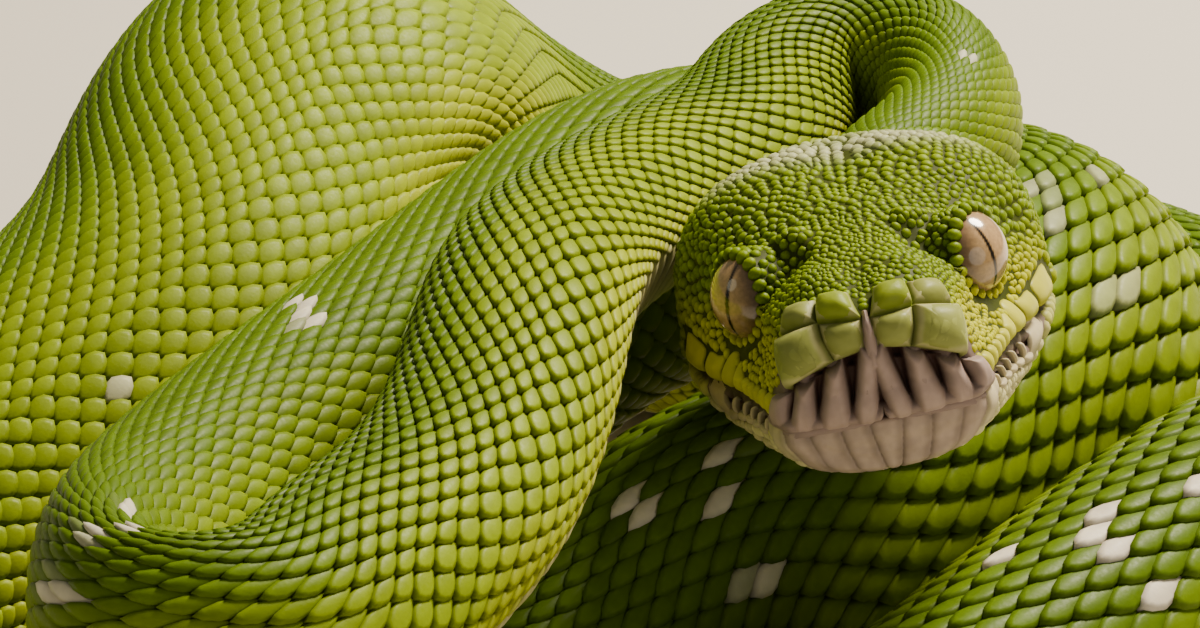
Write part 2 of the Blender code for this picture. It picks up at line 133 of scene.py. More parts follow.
# x, y, height (nothing: on the floor), lean of the spine in degrees, half width, half height of the body
FLOOR = None
STATIONS = (
    (0.8, 17.0, 70.3, 0, 7.2, 7.6),
    (1.6, 25.5, 70.5, 0, 7.2, 7.6),
    (5.8, 35.0, 70.5, -5, 7.2, 7.8),
    (8.8, 46.0, 71.0, -5, 7.4, 8.0),
    (6.0, 55.5, 72.0, 5, 7.5, 8.2),
    (-2.5, 58.5, 71.5, 18, 7.6, 8.4),
    (-9.5, 52.5, 70.0, 34, 7.8, 8.7),
    (-13.0, 43.0, 68.5, 48, 8.0, 9.0),
    (-20.3, 31.0, 68.3, 58, 8.1, 9.3),
    (-28.2, 13.5, 69.5, 65, 8.4, 9.7),
    (-31.3, -3.0, 69.7, 65, 9.0, 10.5),
    (-33.0, -18.0, 66.5, 58, 9.2, 10.7),
    (-37.2, -33.2, 63.4, 46, 9.3, 11.1),
    (-43.6, -45.0, 61.8, 34, 9.1, 11.6),
    (-48.0, -51.6, 60.6, 20, 8.7, 12.1),
    (-54.4, -53.8, 59.6, 6, 8.3, 12.7),
    (-60.6, -50.8, 58.6, -8, 8.2, 13.2),
    (-63.6, -43.6, 57.2, -16, 8.5, 13.6),
    (-64.0, -33.0, 55.0, -18, 9.4, 14.1),
    (-61.6, -17.5, 52.0, -14, 11.2, 14.7),
    (-56.0, 0.0, 50.0, -9, 12.6, 15.5),
    (-47.5, 19.0, 49.3, -6, 13.4, 16.2),
    (-38.5, 38.0, 49.3, -6, 13.8, 16.8),
    (-29.0, 56.0, 49.5, -3, 14.2, 17.2),
    (-19.0, 70.0, 47.5, 3, 14.8, 17.8),
    (-6.0, 78.5, 44.0, 12, 15.2, 18.2),
    (8.0, 76.0, 41.5, 20, 15.6, 18.7),
    (19.0, 64.5, 43.3, 26, 16.0, 19.2),
    (20.5, 49.5, 44.5, 28, 16.4, 19.5),
    (12.0, 35.0, 42.0, 8, 16.8, 20.0),
    (0.2, 21.6, 37.0, -8, 17.2, 20.4),
    (-15.8, 10.0, 33.2, -18, 17.6, 20.8),
    (-31.0, -5.4, 24.4, -22, 18.0, 20.8),
    (-51.0, -22.0, FLOOR, -18, 18.3, 20.3),
    (-74.0, -32.5, FLOOR, -16, 18.5, 20.0),
    (-96.0, -28.0, 20.5, -22, 18.6, 20.3),
    (-106.0, -8.0, 25.5, -38, 18.6, 20.8),
    (-97.5, 14.0, 31.0, -52, 18.7, 21.2),
    (-82.0, 34.0, 37.5, -58, 18.8, 21.5),
    (-71.5, 54.0, 43.5, -60, 18.9, 21.8),
    (-67.5, 73.0, 49.5, -60, 19.0, 22.0),
    (-61.5, 90.0, 52.0, -55, 19.0, 22.0),
    (-53.0, 107.0, 41.0, -40, 19.2, 21.6),
    (-38.0, 118.5, 23.5, -20, 19.4, 20.6),
    (-10.0, 121.0, FLOOR, -8, 19.6, 20.0),
    (20.0, 108.0, FLOOR, 0, 19.8, 19.5),
    (44.0, 88.0, FLOOR, 0, 19.8, 19.5),
    (59.0, 65.0, 20.0, -2, 19.3, 20.0),
    (60.0, 43.0, 29.0, -6, 18.5, 20.5),
    (47.0, 18.5, 37.8, -10, 18.0, 20.3),
    (27.8, -6.4, 38.6, -12, 17.5, 20.0),
    (7.8, -28.8, 33.3, -12, 17.0, 19.3),
    (-14.0, -49.0, 25.0, -8, 16.0, 18.2),
    (-34.0, -70.0, FLOOR, 0, 15.0, 16.6),
    (-62.0, -83.0, FLOOR, 0, 13.8, 15.2),
    (-92.0, -84.0, FLOOR, 0, 12.8, 14.0),
    (-120.0, -70.0, FLOOR, 0, 11.8, 12.8),
    (-138.0, -44.0, FLOOR, 0, 10.8, 11.6),
    (-144.0, -14.0, FLOOR, 0, 9.4, 10.0),
    (-138.0, 16.0, FLOOR, 0, 8.0, 8.5),
    (-122.0, 42.0, FLOOR, 0, 6.5, 7.0),
    (-98.0, 60.0, FLOOR, 0, 5.0, 5.5),
    (-72.0, 70.0, FLOOR, 0, 3.7, 4.1),
    (-46.0, 74.0, FLOOR, 0, 2.5, 2.9),
    (-22.0, 70.0, 1.6, 0, 1.4, 1.8),
)
NAPE_STATION = 1

# mm from the nape, scales across from belly edge to belly edge, scale length as a share of half height
SCALE_PLAN = np.array((
    (0.0, 26.0, 0.30),
    (60.0, 30.0, 0.31),
    (110.0, 28.0, 0.335),
    (200.0, 30.0, 0.31),
    (320.0, 31.0, 0.285),
    (385.0, 29.0, 0.275),
    (470.0, 29.0, 0.27),
    (540.0, 38.0, 0.21),
    (590.0, 46.0, 0.17),
    (700.0, 46.0, 0.17),
    (770.0, 34.0, 0.23),
    (890.0, 25.0, 0.29),
    (1010.0, 24.0, 0.30),
    (1165.0, 24.0, 0.32),
    (1370.0, 14.0, 0.40),
))

BELLY_EDGE = 2.62               # angle from the spine where the belly scutes begin

# groups of white scales: mm from the nape, degrees from the spine, how many, how white
WHITE_GROUPS = (
    (20.0, 20.0, 1, 0.6),       # neck
    (180.0, -10.0, 4, 0.8),     # front turn
    (240.0, 0.0, 2, 0.8),       # second coil
    (380.0, -40.0, 5, 0.3),     # right hump, faint: partly white scales, partly a painted highlight
    (430.0, -20.0, 4, 0.9),     # under the head
    (600.0, 100.0, 1, 0.5),     # upper left arch
    (930.0, 0.0, 5, 0.95),      # right front
)
MARK_SHARE = 0.36               # a mark's radius as a share of the length of a scale

# --- how deep things lie, in millimetres -----------------------------------------------------------------
SKIN_DEPTH = 0.28               # bare skin of the head, under its form
PLATE_SINK = 0.30               # grains, plates and lid scales start this far under the head's form
SHEET_EDGE = -1.6               # the sheet of front plates ends this far under the form

# --- how finely the surfaces are worked out --------------------------------------------------------------
COLUMNS = 240             # around the head and in the body's table
BODY_COLUMN_STEP = 5      # the body's skin uses every fifth column
BODY_ROW_STEP = 2         # and every second millimetre of its length
HEAD_ROW = 0.3            # millimetres between the head's rows
CAP_ROWS = 20             # rows that close the flat front of the snout
SCALES_IN_PIECE = 2700    # most body scales in one piece, which stays under 200,000 triangles
MOST_GRAINS = 5200        # grains on the head
EVENING_ROUNDS = 7        # times that the grains are spread evenly
LID_SCALES = 22           # scales in the ring round each eye
SEED = 11

# --- light and camera, in metres, watts and degrees ------------------------------------------------------
# name, place, aimed at, size, power, colour
LIGHTS = (
    ("top_panel", (0.36, 0.40, 0.72), (0.0, 0.0, 0.05), 0.34, 22.0, "#fff2dc"),
    ("front_fill", (0.75, -0.85, 0.40), (0.0, 0.0, 0.04), 0.9, 3.0, "#fff4e4"),
    ("left_panel", (-0.9, -0.25, 0.55), (0.0, 0.0, 0.05), 0.5, 0.8, "#fff4d2"),
)
ROOM_TONE, ROOM_STRENGTH = "#ecece0", 0.14
CAMERA_PLACE = (0.0368, -0.4018, 0.2500)
CAMERA_TURN = (64.58, 0.0, 3.71)


def linear(hex_code):
    """sRGB hex code to linear red, green, blue and alpha."""
    code = hex_code.lstrip("#")
    parts = [int(code[i:i + 2], 16) / 255.0 for i in (0, 2, 4)]
    return tuple(c / 12.92 if c <= 0.04045 else ((c + 0.055) / 1.055) ** 2.4 for c in parts) + (1.0,)


def smoothstep(low, high, value):
    """0 below low, 1 above high, with a level start and end between them."""
    t = np.clip((value - low) / (high - low), 0.0, 1.0)
    return t * t * (3.0 - 2.0 * t)


def bump(distance, radius):
    """1 at distance 0, falling as a cosine bell to 0 at radius."""
    return 0.5 + 0.5 * np.cos(math.pi * np.clip(np.abs(distance) / radius, 0.0, 1.0))


def unit(vectors):
    """Vectors scaled to length one."""
    return vectors / np.maximum(np.linalg.norm(vectors, axis=-1, keepdims=True), 1e-9)


def mirrored(place, side):
    """A place or direction of the head's left side, or its twin on the right where side is -1."""
    return np.array((side * place[0], place[1], place[2]))


def rgb(swatch):
    """Red, green and blue of a colour property."""
    return np.array(swatch[:3])


# --- properties -----------------------------------------------------------------------------------------
def colour_property(name, description, hex_code):
    """A colour swatch with its default given as an sRGB hex code."""
    return bpy.props.FloatVectorProperty(name=name, description=description, subtype="COLOR", size=4,
                                         min=0.0, max=1.0, default=linear(hex_code))


class PythonSizes(bpy.types.PropertyGroup):
    """Sizes of the coat."""

    row_share: bpy.props.FloatProperty(
        name="Scale length", description="Factor on the planned length of the body scales",
        default=1.0, min=0.5, max=2.0, subtype="FACTOR")
    across: bpy.props.FloatProperty(
        name="Scales across", description="Factor on the planned number of scales in a row",
        default=1.0, min=0.5, max=1.5, subtype="FACTOR")
    relief_share: bpy.props.FloatProperty(
        name="Scale relief", description="Thickness of a body scale as a share of its length",
        default=0.19, min=0.03, max=0.3, subtype="FACTOR")
    grain: bpy.props.FloatProperty(
        name="Head grain", description="Width of a scale on the crown of the head",
        default=0.00125, min=0.0006, max=0.004, unit="LENGTH", precision=5)
    face_grain: bpy.props.FloatProperty(
        name="Face grain", description="Width of a scale on the face, where they are smallest",
        default=0.00085, min=0.0004, max=0.004, unit="LENGTH", precision=5)
    eye_radius: bpy.props.FloatProperty(
        name="Eye radius", description="Radius of the clear shield over the eye",
        default=0.0043, min=0.002, max=0.008, unit="LENGTH", precision=5)


class PythonColours(bpy.types.PropertyGroup):
    """Colours of the coat."""

    back: colour_property("Back", "Green along the spine", "#577200")
    flank: colour_property("Flank", "Yellow green of the sides", "#829600")
    low_flank: colour_property("Low flank", "Yellow above the belly", "#a6ae18")
    belly: colour_property("Belly", "Cream of the belly scutes", "#d8cf98")
    # Spots: the white of single white scales, also used for painted highlights on the rear of the crown and
    # the right hump
    spot: colour_property("Spots", "Single white scales", "#efe4cd")
    # Bare skin: a dark green, darker than the scales as painted shade in the gaps between them
    gap: colour_property("Bare skin", "Dark skin between the scales", "#38400a")
    lip: colour_property("Lips", "Yellow of the side lips", "#bcbc00")
    muzzle: colour_property("Muzzle", "Mauve grey of the front lip", "#a58f84")
    # Pits: a dark brown painted shade, laid in the heat pits and nostrils, in the gaps between the front
    # plates and on the inner side of the iris
    pit: colour_property("Pits", "Dark heat pits", "#4a362f")
    iris: colour_property("Iris", "Beige of the eye", "#bd9a6c")
    pupil: colour_property("Pupil", "Slit of the eye", "#1a1208")


class StudioSettings(bpy.types.PropertyGroup):
    """Stage, light and camera."""

    floor: colour_property("Floor", "Pale matt floor", "#cfc8bb")
    lens: bpy.props.FloatProperty(name="Lens", description="Focal length on a 36 mm wide sensor",
                                  default=133.56, min=20.0, max=300.0)


# --- the route of the body --------------------------------------------------------------------------------
def natural_spline(knots, values, at):
    """Cubic spline through values at knots, with no curvature at its ends."""
    count = len(knots)
    step = np.diff(knots)
    system = np.eye(count)
    right = np.zeros((count, values.shape[1]))
    for i in range(1, count - 1):
        system[i, i - 1:i + 2] = step[i - 1], 2 * (step[i - 1] + step[i]), step[i]
        right[i] = 6 * ((values[i + 1] - values[i]) / step[i] - (values[i] - values[i - 1]) / step[i - 1])
    bend = np.linalg.solve(system, right)
    k = np.clip(np.searchsorted(knots, at, side="right") - 1, 0, count - 2)
    width = step[k][:, None]
    ahead = (knots[k + 1] - at)[:, None]
    past = (at - knots[k])[:, None]
    curve = (bend[k] * ahead ** 3 + bend[k + 1] * past ** 3) / (6 * width)
    curve += (values[k] / width - bend[k] * width / 6) * ahead
    return curve + (values[k + 1] / width - bend[k + 1] * width / 6) * past


def running_mean(values, count):
    """Mean over count neighbours, taken twice, with the ends held."""
    for _ in range(2):
        padded = np.pad(values, ((count // 2, count // 2), (0, 0)), mode="edge")
        total = np.cumsum(np.vstack([np.zeros(values.shape[1]), padded]), axis=0)
        values = (total[count:] - total[:-count]) / count
    return values


class Route:
    """Middle line, spine direction, side direction, sizes and bend of the body, every millimetre."""

    def __init__(self):
        table = np.array([(x, y, BELLY_FLATNESS * high - FLOOR_BITE if z is FLOOR else z, lean, wide, high)
                          for x, y, z, lean, wide, high in STATIONS], dtype=float)
        chords = np.linalg.norm(np.diff(table[:, :3], axis=0), axis=1)
        knots = np.concatenate([[0.0], np.cumsum(chords ** 0.75)])
        fine = np.linspace(0.0, knots[-1], 9000)
        line = natural_spline(knots, table[:, :3], fine)
        run = np.concatenate([[0.0], np.cumsum(np.linalg.norm(np.diff(line, axis=0), axis=1))])
        self.length = np.arange(0.0, run[-1], 1.0)
        self.middle = natural_spline(knots, table[:, :3], np.interp(self.length, run, fine))
        stops = np.interp(knots, fine, run)
        self.nape = stops[NAPE_STATION]
        lean, self.width, self.height = (
            running_mean(np.interp(self.length, stops, column)[:, None], 13)[:, 0] for column in table.T[3:6])
        self.along = unit(np.gradient(self.middle, self.length, axis=0))
        up = unit(np.array([0.0, 0.0, 1.0]) - self.along * self.along[:, 2:3])
        side = np.cross(self.along, up)
        turn = np.radians(lean)[:, None]
        self.spine = np.cos(turn) * up + np.sin(turn) * side
        self.side = np.cos(turn) * side - np.sin(turn) * up
        self.bend = running_mean(np.gradient(self.along, self.length, axis=0), 5)

    def rings(self, lengths, angles):
        """Points at every length and angle: across and upward offsets, held back inside each bend."""
        def at(rows):
            return np.stack([np.interp(lengths, self.length, rows[:, c]) for c in range(3)], axis=-1)

        wide = np.interp(lengths, self.length, self.width)[:, None, None]
        high = np.interp(lengths, self.length, self.height)[:, None, None]
        cosine = np.cos(angles)
        across = (np.sin(angles) * (1.0 - 0.14 * cosine))[None, :, None]
        below = -np.tanh(1.35 * np.clip(-cosine, 0.0, 1.0)) / math.tanh(1.35) * BELLY_FLATNESS
        upward = np.where(cosine > 0.0, cosine, below)[None, :, None]
        offsets = across * wide * at(self.side)[:, None] + upward * high * at(self.spine)[:, None]
        bend = at(self.bend)
        strength = np.maximum(np.linalg.norm(bend, axis=1), 1e-6)
        inward = bend / strength[:, None]
        limit = (BEND_LIMIT / strength)[:, None]
        reach = np.einsum("rck,rk->rc", offsets, inward)
        soft = 0.6 * limit + 0.4 * limit * np.tanh((reach - 0.6 * limit) / (0.4 * limit))
        shift = np.where(reach > 0.6 * limit, soft - reach, 0.0)
        return at(self.middle)[:, None] + offsets + shift[..., None] * inward[:, None]


class Sheet:
    """A table of surface points and outward normals over rows and angles, read between its entries."""

    def __init__(self, rows, points):
        self.rows = rows
        self.points = points
        self.normals = surface_normals(points)

    def sample(self, row, angle):
        """Point and normal at any row and angle, weighted from the four nearest entries."""
        count = self.points.shape[1]
        place = np.interp(row, self.rows, np.arange(len(self.rows)))
        i = np.clip(place.astype(int), 0, len(self.rows) - 2)
        turn = np.mod(angle / TAU, 1.0) * count
        j = np.mod(turn.astype(int), count)
        k = np.mod(j + 1, count)
        u = (place - i)[..., None]
        v = (turn - np.floor(turn))[..., None]

        def read(table):
            near = table[i, j] * (1 - v) + table[i, k] * v
            far = table[i + 1, j] * (1 - v) + table[i + 1, k] * v
            return near * (1 - u) + far * u

        return read(self.points), unit(read(self.normals))


def surface_normals(points):
    """Outward normals: the step round a ring crossed with the step from ring to ring."""
    down = np.gradient(points, axis=0)
    round_it = np.roll(points, -1, axis=1) - np.roll(points, 1, axis=1)
    return unit(np.cross(round_it, down))


def head_turn():
    """The head's turn as a matrix: rolled about its length, then turned about the upright."""
    a, b = -HEAD_ROLL, HEAD_YAW
    roll = np.array([[math.cos(a), 0, math.sin(a)], [0, 1, 0], [-math.sin(a), 0, math.cos(a)]])
    yaw = np.array([[math.cos(b), -math.sin(b), 0], [math.sin(b), math.cos(b), 0], [0, 0, 1]])
    return yaw @ roll


def head_to_pile(points):
    """Head axes to millimetres above the floor: turned, then raised."""
    return points @ head_turn().T + np.array([0.0, 0.0, HEAD_HEIGHT])


def pile_to_head(points):
    """Millimetres above the floor to head axes."""
    return (points - np.array([0.0, 0.0, HEAD_HEIGHT])) @ head_turn()


def to_world(points):
    """Millimetres about the head's foot to metres about the pile's middle, never below the floor."""
    moved = points - np.array([PILE_CENTRE[0], PILE_CENTRE[1], 0.0])
    moved[..., 2] = np.maximum(moved[..., 2], 0.0)
    return moved * MM


# --- the head's form ---------------------------------------------------------------------------------------
def head_sizes(y):
    """Half width, widest level, top, bottom and both squarenesses at y, between the sections and eased."""
    fine = np.arange(SNOUT_FRONT, 26.0, 0.1)
    raw = np.stack([np.interp(fine, HEAD_SECTIONS[:, 0], column) for column in HEAD_SECTIONS.T[1:]], axis=1)
    eased = running_mean(raw, 15)
    keep = smoothstep(SNOUT_FRONT, -24.5, fine)[:, None]
    eased = raw * (1 - keep) + eased * keep
    return [np.interp(y, fine, column) for column in eased.T]


def head_rings(y, angles):
    """Rounded-square sections: sides and height as signed powers 2/squareness of sine and cosine."""
    wide, level, top, bottom, crown, jowl = [size[:, None] for size in head_sizes(y)]
    cosine, sine = np.cos(angles)[None], np.sin(angles)[None]
    power = np.where(cosine > 0.0, 2.0 / crown, 2.0 / jowl)
    x = wide * np.sign(sine) * np.abs(sine) ** power
    reach = np.where(cosine > 0.0, top - level, level - bottom)
    z = level + reach * np.sign(cosine) * np.abs(cosine) ** power
    return np.stack([x, np.broadcast_to(y[:, None], x.shape), z], axis=-1)


def inside_head(p):
    """True inside the head: |x/width|^n + |height/reach|^n under one, behind the snout's front."""
    wide, level, top, bottom, crown, jowl = head_sizes(p[..., 1])
    over = p[..., 2] > level
    power = np.where(over, crown, jowl)
    reach = np.where(over, top - level, level - bottom)
    form = np.abs(p[..., 0] / wide) ** power + np.abs((p[..., 2] - level) / reach) ** power
    return (form < 1.0) & (p[..., 1] > SNOUT_FRONT) & (p[..., 1] < 24.0)


def face_rays(azimuth, elevation):
    """Directions from the middle of the snout; azimuth runs from the front to the left side."""
    return np.stack([np.sin(azimuth) * np.cos(elevation), -np.cos(azimuth) * np.cos(elevation),
                     np.sin(elevation)], axis=-1)


def face_place(p):
    """Azimuth and elevation of points about the middle of the snout, in degrees."""
    d = p - FACE_MIDDLE
    azimuth = np.arctan2(d[..., 0], -d[..., 1])
    return np.degrees(azimuth), np.degrees(np.arctan2(d[..., 2], np.hypot(d[..., 0], d[..., 1])))


def round_front(points):
    """The snout's flat front pressed back towards its edge."""
    back = 0.7 * (1.0 - bump(np.hypot(points[..., 0], points[..., 2] - 1.5), 7.5))
    points[..., 1] += back * smoothstep(-26.4, SNOUT_FRONT, points[..., 1])
    return points


def face_sheet():
    """The head's surface by elevation and azimuth: each ray's length is halved down to the surface."""
    elevation = np.radians(np.arange(-62.0, 80.1, 1.0))
    azimuth = np.linspace(0.0, TAU, COLUMNS, endpoint=False)
    rays = face_rays(*np.meshgrid(azimuth, elevation))
    near, far = np.zeros(rays.shape[:2]), np.full(rays.shape[:2], 45.0)
    for _ in range(30):
        half = 0.5 * (near + far)
        inside = inside_head(FACE_MIDDLE + half[..., None] * rays)
        near, far = np.where(inside, half, near), np.where(inside, far, half)
    points = FACE_MIDDLE + near[..., None] * rays
    points = round_front(points)
    sheet = Sheet(np.degrees(elevation), points)
    stand = folds(points) * (1.0 - smoothstep(18.0, 24.0, points[..., 1]))
    points = points + stand[..., None] * sheet.normals
    return Sheet(np.degrees(elevation), fit_lids(points))


def mouth_height(y):
    """Height of the closed mouth at y."""
    return np.interp(y, MOUTH_LINE[:, 0], MOUTH_LINE[:, 1])


def segment_distance(p, ends):
    """Distance of points from the straight line between two ends."""
    a, b = np.array(ends[0], dtype=float), np.array(ends[1], dtype=float)
    share = np.clip(((p - a) @ (b - a)) / ((b - a) @ (b - a)), 0.0, 1.0)
    return np.linalg.norm(p - a - share[..., None] * (b - a), axis=-1)


def folds(p):
    """How far the head's skin stands out or in at a point: brows, hollows, cheeks, lips, mouth, as bells."""
    q = np.concatenate([np.abs(p[..., :1]), p[..., 1:]], axis=-1)
    x, y, z = q[..., 0], q[..., 1], q[..., 2]
    # brow ridge arching over each eye and inwards, with a hollow in front of it
    out = 1.7 * bump(segment_distance(q, ((13.0, -2.4, 7.2), (10.0, -5.2, 9.2))), 2.3)
    out = np.maximum(out, 1.7 * bump(segment_distance(q, ((10.0, -5.2, 9.2), (5.2, -7.4, 10.3))), 2.3))
    out -= 1.7 * bump(segment_distance(q, ((9.2, -12.2, 7.8), (6.0, -10.9, 10.0))), 2.9)
    # swollen snout top between the nasals and the brows, and a shallow trough along its middle
    out += 0.55 * bump(np.hypot(x - 4.4, (y + 17.5) / 1.3), 3.4) * smoothstep(4.0, 8.0, z)
    out -= 0.5 * bump(x / 1.3, 1.6) * bump((y + 20.0) / 1.6, 4.0) * smoothstep(4.0, 8.0, z)
    # hollow lores between eye and nostril, and a hollow behind the eye
    out -= 0.9 * bump(segment_distance(q, ((9.8, -19.0, 4.4), (11.4, -14.5, 3.0))), 3.4)
    out -= 0.5 * bump(segment_distance(q, ((14.6, -1.0, 3.0), (15.6, 4.0, 2.0))), 3.6)
    # cheeks swell at the back and the crown has a furrow
    out += 0.5 * bump(np.hypot((x - 11.0) / 1.2, (y - 9.0) / 1.3), 7.0) * smoothstep(0.0, 5.0, z)
    out -= 0.7 * bump(x / 1.4, 3.5) * smoothstep(-4.0, 6.0, y) * smoothstep(0.0, 4.0, z) * \
        (1.0 - smoothstep(17.0, 23.0, y))
    # mouth line with a swollen lip above and below it
    gap = z - mouth_height(y)
    fade = 1.0 - smoothstep(7.0, 12.0, y)
    out -= 0.8 * bump(gap, 0.55) * fade
    out += 0.30 * bump(gap - 1.6, 1.5) * fade + 0.25 * bump(gap + 1.5, 1.4) * fade
    return out


def pits(p):
    """Depth of the pits in the lips and of the nostrils at a point, from the distance to each pit's line."""
    q = np.concatenate([np.abs(p[..., :1]), p[..., 1:]], axis=-1)
    azimuth, elevation = face_place(q)
    size = np.linalg.norm(q - FACE_MIDDLE, axis=-1)
    flat = np.stack([azimuth * np.cos(np.radians(elevation)), elevation], axis=-1) * np.radians(1.0)
    deep = np.zeros_like(size)
    for upper, lower, wide, depth in FACE_PITS:
        ends = [(a * math.cos(math.radians(e)) * math.radians(1.0), math.radians(e))
                for a, e in (upper, lower)]
        deep = np.maximum(deep, depth * bump(segment_distance(flat, ends) * size / (1.6 * wide), 1.0))
    # long pits under the edge of the lower lip
    below = mouth_height(q[..., 1]) - q[..., 2]
    row = smoothstep(LOWER_PITS[0], LOWER_PITS[0] + 4.0, azimuth) * (1.0 - smoothstep(LOWER_PITS[1] - 4.0,
                                                                                    LOWER_PITS[1], azimuth))
    return np.maximum(deep, 1.2 * bump(below - 1.25, 1.15) * row)


def fit_lids(points):
    """Skin round each eye, by its angle from the way that the lids face: under the eyeball inside their ring,
    close to it at the ring, and free to rise with the angle beyond it."""
    edge = math.asin(LID_RADIUS / EYE_RADIUS)
    for sign in (-1.0, 1.0):
        away = points - mirrored(EYE_CENTRE, sign)
        reach = np.linalg.norm(away, axis=-1)
        ray = away / np.maximum(reach, 1e-6)[..., None]
        turn = np.arccos(np.clip(ray @ unit(mirrored(LID_FACING, sign)), -1.0, 1.0))
        beyond = turn - edge
        most = EYE_RADIUS + LID_GAP + 3.4 * np.maximum(beyond, 0.0) ** 1.15
        fitted = np.minimum(np.maximum(reach, EYE_RADIUS + LID_GAP), most)
        fitted = fitted + 0.22 * bump(beyond - 0.16, 0.16)
        fitted = np.where(beyond < 0.0, np.minimum(reach, EYE_RADIUS - 0.5), fitted)
        near = (1.0 - smoothstep(6.4, 8.2, reach)) * (turn < 2.0)
        points = points + ((fitted - reach) * near)[..., None] * ray
    return points


def head_table(route):
    """Rows from the snout's front to the nape and angles around, in head axes, blended into the body."""
    angles = np.linspace(0.0, TAU, COLUMNS, endpoint=False)
    y = np.concatenate([np.linspace(SNOUT_FRONT, -26.9, 7), np.linspace(-26.9, -25.0, 9)[1:],
                        np.arange(-24.7, 25.3, HEAD_ROW)])
    rows = head_rings(y, angles)
    shares = np.linspace(0.02, 1.0, CAP_ROWS, endpoint=False)
    cap = rows[:1] * np.stack([shares, np.ones(CAP_ROWS), shares], axis=1)[:, None]
    cap[..., 2] += (1.0 - shares[:, None]) * 1.5
    cap[..., 1] = SNOUT_FRONT
    body = pile_to_head(route.rings(route.nape - (25.5 - y), angles))
    blend = smoothstep(19.5, 25.2, y)[:, None, None]
    rows = rows * (1 - blend) + body * blend
    points = round_front(np.concatenate([cap, rows]))
    places = np.concatenate([SNOUT_FRONT - 5.0 * (1 - shares), y])
    normals = surface_normals(points)
    normals[:CAP_ROWS] = (0.0, -1.0, 0.0)
    stand = folds(points) * (1.0 - smoothstep(18.0, 24.0, points[..., 1]))
    return places, fit_lids(points + stand[..., None] * normals)


class Snake:
    """The surfaces that every piece of the coat is laid on."""

    def __init__(self):
        self.route = Route()
        angles = np.linspace(0.0, TAU, COLUMNS, endpoint=False)
        self.nape = self.route.nape
        self.tail = self.route.length[-1]
        rows = np.arange(self.nape - 3.0, self.tail + 1e-6, 1.0)
        self.body = Sheet(rows, self.route.rings(rows, angles))
        places, points = head_table(self.route)
        self.head_axes = points
        self.head = Sheet(places, head_to_pile(points))
        self.head.normals[:2] = unit(head_to_pile(np.array([0.0, -1.0, 0.0])) - head_to_pile(np.zeros(3)))
        self.face = face_sheet()
        # elevation of the mouth at each azimuth, where the height above the mouth line passes through nothing
        gap = self.face.points[..., 2] - mouth_height(self.face.points[..., 1])
        crossing = np.argmax(gap > 0.0, axis=0)
        above, below = gap[crossing, np.arange(COLUMNS)], gap[crossing - 1, np.arange(COLUMNS)]
        self.mouth = self.face.rows[crossing] - above / (above - below)

    def mouth_at(self, azimuth):
        """Elevation of the mouth at an azimuth in degrees, the same on both sides."""
        return np.interp(np.abs(azimuth), np.linspace(0.0, 360.0, COLUMNS, endpoint=False), self.mouth)

    def face_corner(self, azimuth, elevation):
        """Azimuth and elevation of a plate's corner; a low corner is counted up from the mouth."""
        return azimuth, elevation + self.mouth_at(azimuth) * (elevation < MOUTH_BAND)

    def scale_length(self, length, factor):
        """Length of one body scale there: the planned share of the half height, times a factor."""
        share = np.interp(length - self.nape, SCALE_PLAN[:, 0], SCALE_PLAN[:, 2])
        return factor * share * np.interp(length, self.route.length, self.route.height)

    def scales_across(self, length, factor):
        """Scales in one row from belly edge to belly edge there; rows come and go at the belly's edge."""
        return factor * np.interp(length - self.nape, SCALE_PLAN[:, 0], SCALE_PLAN[:, 1])


snake = Snake()


# --- meshes ------------------------------------------------------------------------------------------------
def add_piece(name, points, faces, material):
    """A finished piece at the origin from points in metres and faces with the same number of corners."""
    mesh = bpy.data.meshes.new(name)
    mesh.vertices.add(len(points))
    mesh.vertices.foreach_set("co", np.ascontiguousarray(points, dtype=np.float32).ravel())
    mesh.loops.add(faces.size)
    mesh.loops.foreach_set("vertex_index", np.ascontiguousarray(faces, dtype=np.int32).ravel())
    mesh.polygons.add(len(faces))
    mesh.polygons.foreach_set("loop_start", np.arange(0, faces.size, faces.shape[1], dtype=np.int32))
    mesh.update(calc_edges=True)
    mesh.validate()
    mesh.shade_smooth()
    mesh.materials.append(material)
    piece = bpy.data.objects.new(name, mesh)
    bpy.context.scene.collection.objects.link(piece)
    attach(piece, "root")
    return piece


def add_colour(piece, colours):
    """Point colours that the materials read as Coat."""
    layer = piece.data.color_attributes.new("Coat", "FLOAT_COLOR", "POINT")
    full = np.concatenate([colours, np.ones((len(colours), 1))], axis=1)
    layer.data.foreach_set("color", full.astype(np.float32).ravel())


def add_map(piece, places):
    """The map that the bake uses, from one place for each point."""
    layer = piece.data.uv_layers.new(name="OFBake")
    index = np.empty(len(piece.data.loops), dtype=np.int32)
    piece.data.loops.foreach_get("vertex_index", index)
    layer.data.foreach_set("uv", places[index].astype(np.float32).ravel())


def head_map(entries):
    """Places in the map's first lane for entries of the head's table, numbered row by row."""
    across, along = (entries % COLUMNS) / COLUMNS, (entries // COLUMNS) / len(snake.head_axes)
    return np.stack([0.01 + 0.18 * across, 0.02 + 0.96 * along], -1)


def nearest_entries(points):
    """Number of the head table's entry that lies nearest to each point in head axes."""
    table = snake.head_axes.reshape(-1, 3)
    return np.array([np.argmin(((table - point) ** 2).sum(axis=1)) for point in points])


def body_map(length, within):
    """Across and along places in the map's other four lanes, each of which takes a quarter of the body."""
    strip = (length - snake.nape) / (snake.tail - snake.nape) * 4.0
    lane = np.clip(np.floor(strip), 0, 3)
    return 0.2 * (lane + 1) + within, 0.02 + 0.96 * (strip - lane)


def grid_faces(rows, columns):
    """Triangles of a grid of rows that close on themselves."""
    i, j = np.meshgrid(np.arange(rows - 1), np.arange(columns), indexing="ij")
    k = (j + 1) % columns
    a, b, c, d = i * columns + j, i * columns + k, (i + 1) * columns + k, (i + 1) * columns + j
    return np.concatenate([np.stack([a, b, c], -1).reshape(-1, 3), np.stack([a, c, d], -1).reshape(-1, 3)])


